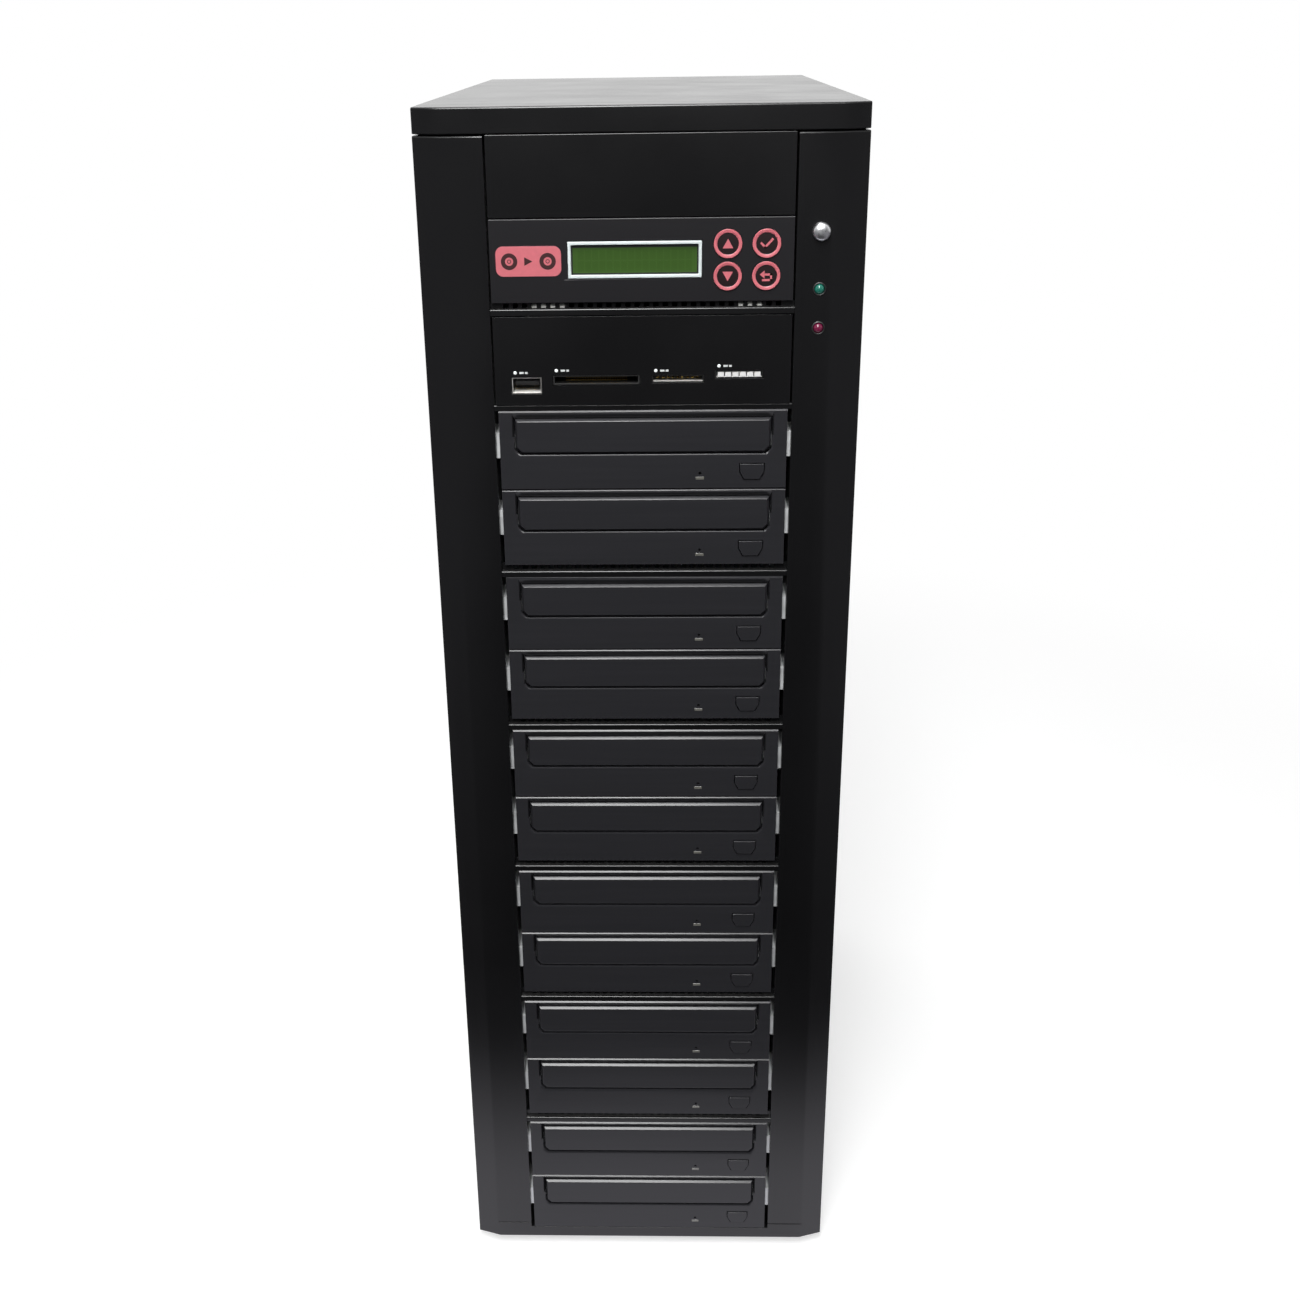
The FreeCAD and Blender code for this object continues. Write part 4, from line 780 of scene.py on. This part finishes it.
class TOWER_OT_reader(bpy.types.Operator):
    """Make the card reader's panel, sockets, contacts and lamps"""

    bl_idname = "tower.reader"
    bl_label = "Card reader"

    def execute(self, context):
        sizes = context.scene.tower_sizes
        dressed("reader_panel", sizes.panel_edge, "front_plastic", [finish("moulded_abs")])
        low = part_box("card_reader")[0]
        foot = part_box("reader_panel")[0].z

        def choose(middle):
            """Tin on a socket's floor, plastic in it and round it, but steel round the USB's, green below."""
            behind = (middle.y - FRONT_Y) / MM
            for name, (x, width, rise, height) in SOCKETS.items():
                across = abs(middle.x - x * MM) / MM - width / 2
                up = abs(middle.z - foot - rise * MM) / MM - height / 2
                if max(across, up) < -SOCKET_MARGIN and behind > FACE_DEPTH:
                    return 3 if middle.z < foot + (rise - height / 2 + FLOOR_TIN) * MM else 2
                if name != "usb" and max(across, up) < FACE_WIDTH and behind < FACE_DEPTH:
                    return 2
            board_top = low.z + BOARD_SHARE * (foot + BOARD_TOP * MM - low.z)
            return 1 if middle.z < board_top and behind > BOARD_START else 0

        dressed("card_reader", sizes.small_edge / 3, "socket_steel", [finish(kind) for kind in (
            "plated_contact", "solder_mask", "moulded_nylon", "tin_plate")], 1, choose)
        for name, (columns, rows, pitch, width, height, start, depth, kind) in CONTACTS.items():
            x, _, rise, _ = SOCKETS[name]
            blocks(f"{name}_contacts", "socket_steel", columns, rows, pitch * MM, pitch * MM,
                   width * MM, depth * MM, height * MM,
                   (x * MM, FRONT_Y + (start + depth / 2) * MM, foot + rise * MM), finish(kind))
        self.lamps(sizes, foot)
        return {"FINISHED"}

    def lamps(self, sizes, foot):
        """A small lamp over the left end of each socket, with two short printed bars beside it."""
        radius, deep = LAMP_RADIUS * MM, LAMP_DEPTH * MM
        profile = [(0, radius / 2), (radius * 0.6, radius * 0.4), (radius, 0), (radius, -deep), (0, -deep)]
        domes = bmesh.new()
        bars = []
        for x, width, rise, height in SOCKETS.values():
            across, up = (x - width / 2 + LAMP_INSET) * MM, foot + (rise + height / 2 + LAMP_RISE) * MM
            together(domes, standing(profile, (across, up), 20))
            for start, span in MARKS:
                left = across + start * MM
                bars.append(rectangle(left, left + span * MM, up - MARK_HALF * MM, up + MARK_HALF * MM))
        piece("reader_lamps", domes, "case", "lamp_green",
              [finish("lamp_lens", "reader_lens", "#e6ebea", 0.5)])
        piece("reader_marks", printed(bars, FRONT_Y, sizes.print_height), "case", "front_plastic",
              [finish("printed_ink", "white_ink", "#dfe3e2")])


class TOWER_OT_power(bpy.types.Operator):
    """Make the chrome power button, and the two lamps with their holders"""

    bl_idname = "tower.power"
    bl_label = "Power button and lamps"

    def execute(self, context):
        middle, radius, proud, deep = round_button("power_button")
        dome_shares = ((0, 1), (0.3, 0.985), (0.58, 0.92), (0.8, 0.78), (0.93, 0.58), (1, 0.34))
        profile = [(radius * across, proud * up) for across, up in dome_shares]
        profile += [(radius, -deep), (0, -deep)]
        piece("power_button_finished", standing(profile, middle, 64), "power_button", "button_chrome",
              [finish("satin_chrome")], "power_button")
        ring_shares = ((0, 0), (0, 0.7), (0.3, 1), (0.6, 0.9), (0.9, 0.5), (1, 0))
        width = context.scene.tower_sizes.holder_width
        for name, base, glow in (("green_lamp", "#1f6b5c", 0.2), ("red_lamp", "#6d1a3c", 0.16)):
            repaint(name, finish("lamp_lens", name, base, glow))
            middle, radius = round_button(name)[:2]
            profile = [(radius + HOLDER_GAP * MM + width * across, HOLDER_HEIGHT * MM * up)
                       for across, up in ring_shares]
            piece(f"{name}_holder", standing(profile, middle, 48, closed=True), "case", "moulded_black",
                  [finish("moulded_nylon")])
        repaint("power_switch", finish("moulded_nylon"))
        return {"FINISHED"}


class TOWER_OT_back(bpy.types.Operator):
    """Finish the fans, the power supply, the mains fittings and the feet"""

    bl_idname = "tower.back"
    bl_label = "Back and feet"

    def execute(self, context):
        sizes = context.scene.tower_sizes
        nylon = finish("moulded_nylon")
        for node in ("case_fan_frames", "upper_fan_rotor", "lower_fan_rotor", "supply_fan_rotor",
                     "rocker_switch"):
            dressed(node, sizes.small_edge, "moulded_black", [nylon], segments=1)
        solids = sorted(islands(merged("power_supply")), key=size_of)
        fan, case = solids[0], solids[-1]
        low, high = max(islands(merged("mains_inlet")), key=size_of)
        centre = (low + high) / 2

        def supply_part(middle):
            """Plastic where the fan's frame stands in the case, steel round it."""
            return 1 if inside(middle, case, -SUPPLY_SKIN * MM) and inside(middle, fan) else 0

        def inlet_part(middle):
            """Metal prongs within the socket, plastic round them."""
            prong = (abs(middle.x - centre.x) < PRONG_ACROSS * MM and abs(middle.z - centre.z) < PRONG_UP * MM
                     and low.y + PRONG_INNER * MM < middle.y < high.y - PRONG_OUTER * MM)
            return 1 if prong else 0
        dressed("power_supply", sizes.small_edge / 2, "cage_steel", [finish("zinc_plate"), nylon], 1,
                supply_part)
        dressed("mains_inlet", sizes.small_edge, "moulded_black", [nylon, finish("plated_contact")], 1,
                inlet_part)
        dressed("feet", sizes.moulded_edge, "foot_rubber", [finish("foot_rubber")])
        return {"FINISHED"}


class TOWER_OT_screws(bpy.types.Operator):
    """Replace every screw by one with a modelled head"""

    bl_idname = "tower.screws"
    bl_label = "Screws"

    def execute(self, context):
        groups = {}
        for low, high in islands(merged("screws")):
            span = high - low
            middle = (low + high) / 2
            if span.x < span.z * 0.9:
                direction = "right" if middle.x > 0 else "left"
                radius, depth = span.z / 2, span.x
                head = Vector((high.x if middle.x > 0 else low.x, middle.y, middle.z))
            else:
                direction, radius, depth = "back", span.x / 2, span.y
                head = Vector((middle.x, high.y, middle.z))
            groups.setdefault((direction, round(radius / MM, 1)), []).append((head, depth))
        for direction, radius in sorted(groups, key=lambda group: (group[0] == "back", group)):
            found = groups[direction, radius]
            make = self.thumb_screw if radius > THUMB_RADIUS else self.pan_screw
            single = make(radius * MM, found[0][1])
            screw = as_mesh(stood(single, Vector(), direction), "screw")
            scattered(f"screws_{direction}_{radius:.0f}mm", screw, [place for place, _ in found],
                      "screw_steel", finish("plated_screw"), "screws")
        return {"FINISHED"}

    def pan_screw(self, radius, depth):
        """A pan head with a cross recess."""
        head = radius * 0.6

        def recess(out, angle, up):
            across = min(abs(out * math.cos(angle)), abs(out * math.sin(angle)))
            in_cross = across < radius * 0.14 and out < radius * 0.56 and up > -head * 0.5
            return out, up - head * 0.5 if in_cross else up
        shares = ((0, 0.5), (0.18, 0), (0.36, 0.01), (0.55, 0.05), (0.6, 0.08), (0.8, 0.22), (0.95, 0.5),
                  (1, 0.75), (1, 1))
        return self.with_shank(radius, head, shares, radius / 2, depth, 32, recess)

    def thumb_screw(self, radius, depth):
        """A knurled head with a cross slot."""
        head = radius * 0.618

        def knurl(out, angle, up):
            if out > radius * 0.97 and round(angle / math.tau * 64) % 2:
                return out * 0.95, up
            across = abs(out * math.sin(angle))
            in_slot = across < radius * 0.1 and out < radius * 0.8 and up > -head * 0.3
            return out, up - head * 0.25 if in_slot else up
        shares = ((0, 0.25), (0.1, 0), (0.3, 0), (0.6, 0), (0.78, 0), (0.9, 0), (1, 0.12), (1, 0.85),
                  (0.9, 1))
        return self.with_shank(radius, head, shares, radius / 3, depth, 64, knurl)

    def with_shank(self, radius, head, shares, shank, depth, steps, relief):
        """A head from shares of its radius and height, whose front is at zero, on a shank that runs down."""
        profile = [(radius * out, -head * down) for out, down in shares]
        return turned(profile + [(shank, -head), (shank, -depth), (0, -depth)], steps, relief=relief)


# Camera of the photograph, with its focal length and centre in pixels
PHOTO_SIDE, PHOTO_FOCAL, PHOTO_CENTRE = 1300, 1516.7, (617.8, 646.7)
CAMERA_PLACE = (0.00906, -0.9585, 0.7339)
CAMERA_YAW, CAMERA_PITCH, CAMERA_ROLL = (math.radians(angle) for angle in (1.773, 22.348, -0.884))
SENSOR_WIDTH = 36
# Lamps: name, place, target, width and height, power, and the power of a twin for gloss only
LAMPS = (("upper", (-0.1, -1.0, 1.76), (0, -0.195, 0.35), (0.4, 1.05), 24, 30),
         ("front", (-0.1, -1.72, 1.5), (0, -0.195, 0.4), (0.45, 0.28), 6, 9),
         ("near_camera", (0.08, -1.05, 0.9), (0, -0.195, 0.45), (0.12, 0.12), 0.35, 0),
         ("back", (-1.3, 1.5, 1.2), (0, 0.1, 0.35), (1.6, 1.6), 15, 0))


class TOWER_OT_stage(bpy.types.Operator):
    """Set up the camera, the pale floor and the soft lamps"""

    bl_idname = "tower.stage"
    bl_label = "Stage"

    def execute(self, context):
        scene = context.scene
        scene.view_settings.view_transform = "Standard"
        self.camera(scene)
        self.floor()
        self.world(scene)
        for name, place, target, size, power, sheen in LAMPS:
            self.lamp(name, place, target, size, power)
            if sheen:
                self.lamp(f"{name}_sheen", place, target, size, sheen, gloss_only=True)
        return {"FINISHED"}

    def camera(self, scene):
        data = bpy.data.cameras.new("camera")
        data.sensor_width = SENSOR_WIDTH
        data.lens = PHOTO_FOCAL / PHOTO_SIDE * SENSOR_WIDTH
        data.shift_x = 0.5 - PHOTO_CENTRE[0] / PHOTO_SIDE
        data.shift_y = PHOTO_CENTRE[1] / PHOTO_SIDE - 0.5
        scene.camera = obj = linked("camera", data)
        turn = (Matrix.Rotation(CAMERA_YAW, 4, "Z") @ Matrix.Rotation(math.radians(90) - CAMERA_PITCH, 4, "X")
                @ Matrix.Rotation(CAMERA_ROLL, 4, "Z"))
        obj.matrix_world = Matrix.Translation(CAMERA_PLACE) @ turn

    def lamp(self, name, place, target, size, power, gloss_only=False):
        """A soft lamp; one for gloss only brightens edges and leaves every colour as it is."""
        data = bpy.data.lights.new(name, "AREA")
        data.shape = "RECTANGLE"
        data.size, data.size_y = size
        data.energy = power
        obj = linked(name, data)
        direction = Vector(target) - Vector(place)
        obj.matrix_world = Matrix.Translation(place) @ direction.to_track_quat("-Z", "Y").to_matrix().to_4x4()
        obj.visible_camera = False
        obj.visible_diffuse = not gloss_only

    def floor(self):
        """A white sheet round the foot that fades to a dark studio floor, and is white to the camera."""
        edit = bmesh.new()
        bmesh.ops.create_grid(edit, x_segments=8, y_segments=8, size=12)
        mesh = as_mesh(edit, "floor")
        linked("floor", mesh)
        made = bpy.data.materials.new("pale_floor")
        tree = emptied(made)
        place = add(tree, "ShaderNodeTexCoord").outputs["Object"]
        from_foot = add(tree, "ShaderNodeVectorMath", {0: place, 1: (0, 0.3, 0)}, operation="DISTANCE")
        sheet, near_foot = (
            add(tree, "ShaderNodeMapRange", dict(zip(RANGE, (from_foot.outputs["Value"], *fade, 1.0, 0.0))),
                interpolation_type="SMOOTHSTEP").outputs[0] for fade in (SHEET_FADE, FLOOR_FADE))
        across = add(tree, "ShaderNodeSeparateXYZ", {0: place}).outputs["X"]
        aside = add(tree, "ShaderNodeMath", {0: across}, operation="ABSOLUTE")
        dark = add(tree, "ShaderNodeMapRange", dict(zip(RANGE, (aside.outputs[0], 0.15, 0.7, 0.007, 0.15))))
        tone = add(tree, "ShaderNodeMix", {0: sheet, 2: dark.outputs[0], 3: 1.0})
        glossy, direct = self.rays(tree)
        share = add(tree, "ShaderNodeMix", {0: glossy, 2: 0.5, 3: 1.2})
        glow = add(tree, "ShaderNodeMath", {0: tone.outputs[0], 1: share.outputs[0]}, operation="MULTIPLY")
        paper = add(tree, "ShaderNodeEmission", {"Color": linear("#f8f6ff"), "Strength": glow.outputs[0]})
        shaded = add(tree, "ShaderNodeBsdfDiffuse", {"Color": linear("#c8c8c8")})
        soft, far = (add(tree, "ShaderNodeEmission", {"Color": linear("#ffffff"), "Strength": strength})
                     for strength in (0.6, 1.0))
        near = add(tree, "ShaderNodeAddShader", {0: shaded.outputs[0], 1: soft.outputs[0]})
        seen = add(tree, "ShaderNodeMixShader", {0: near_foot, 1: far.outputs[0], 2: near.outputs[0]})
        mix = add(tree, "ShaderNodeMixShader", {0: direct, 1: paper.outputs[0], 2: seen.outputs[0]})
        add(tree, "ShaderNodeOutputMaterial", {"Surface": mix.outputs[0]})
        mesh.materials.append(made)

    def rays(self, tree):
        """Whether a ray is glossy, and whether it comes from the camera, directly or through glass."""
        path = add(tree, "ShaderNodeLightPath").outputs
        direct = add(tree, "ShaderNodeMath", {0: path["Is Camera Ray"], 1: path["Is Transmission Ray"]},
                     operation="MAXIMUM")
        return path["Is Glossy Ray"], direct.outputs[0]

    def world(self, scene):
        """White to the camera, a white backdrop behind the tower for gloss, and a dim room in front."""
        scene.world = bpy.data.worlds.new("studio")
        tree = emptied(scene.world)
        way = add(tree, "ShaderNodeSeparateXYZ", {0: add(tree, "ShaderNodeTexCoord").outputs["Generated"]})
        backdrop = add(tree, "ShaderNodeMapRange",
                       dict(zip(RANGE, (way.outputs["Y"], -0.9, 0.35, 0.04, 1.1))))
        glossy, direct = self.rays(tree)
        gloss = add(tree, "ShaderNodeMix", {0: glossy, 2: 0.25, 3: backdrop.outputs[0]})
        level = add(tree, "ShaderNodeMix", {0: direct, 2: gloss.outputs[0], 3: 1.0})
        ground = add(tree, "ShaderNodeBackground", {"Color": linear("#ffffff"), "Strength": level.outputs[0]})
        add(tree, "ShaderNodeOutputWorld", {"Surface": ground.outputs[0]})


OPERATORS = (TOWER_OT_case, TOWER_OT_front, TOWER_OT_drives, TOWER_OT_controller, TOWER_OT_keys,
             TOWER_OT_reader, TOWER_OT_power, TOWER_OT_back, TOWER_OT_screws, TOWER_OT_stage)


class TOWER_PT_sidebar(bpy.types.Panel):
    """Lists the pieces of the tower"""

    bl_idname = "TOWER_PT_sidebar"
    bl_label = "Tower"
    bl_space_type = "VIEW_3D"
    bl_region_type = "UI"
    bl_category = "Tower"

    def draw(self, context):
        for operator in OPERATORS:
            self.layout.operator(operator.bl_idname)
        for group in (context.scene.tower_sizes, context.scene.tower_colours):
            for name in group.__annotations__:
                self.layout.prop(group, name)


CLASSES = (TowerSizes, TowerColours) + OPERATORS + (TOWER_PT_sidebar,)


def register():
    for item in CLASSES:
        bpy.utils.register_class(item)
    bpy.types.Scene.tower_sizes = PointerProperty(type=TowerSizes)
    bpy.types.Scene.tower_colours = PointerProperty(type=TowerColours)


def unregister():
    del bpy.types.Scene.tower_colours
    del bpy.types.Scene.tower_sizes
    for item in reversed(CLASSES):
        bpy.utils.unregister_class(item)


def main():
    register()
    for operator in OPERATORS:
        getattr(bpy.ops.tower, operator.bl_idname.split(".")[1])()


if __name__ == "__main__":
    main()
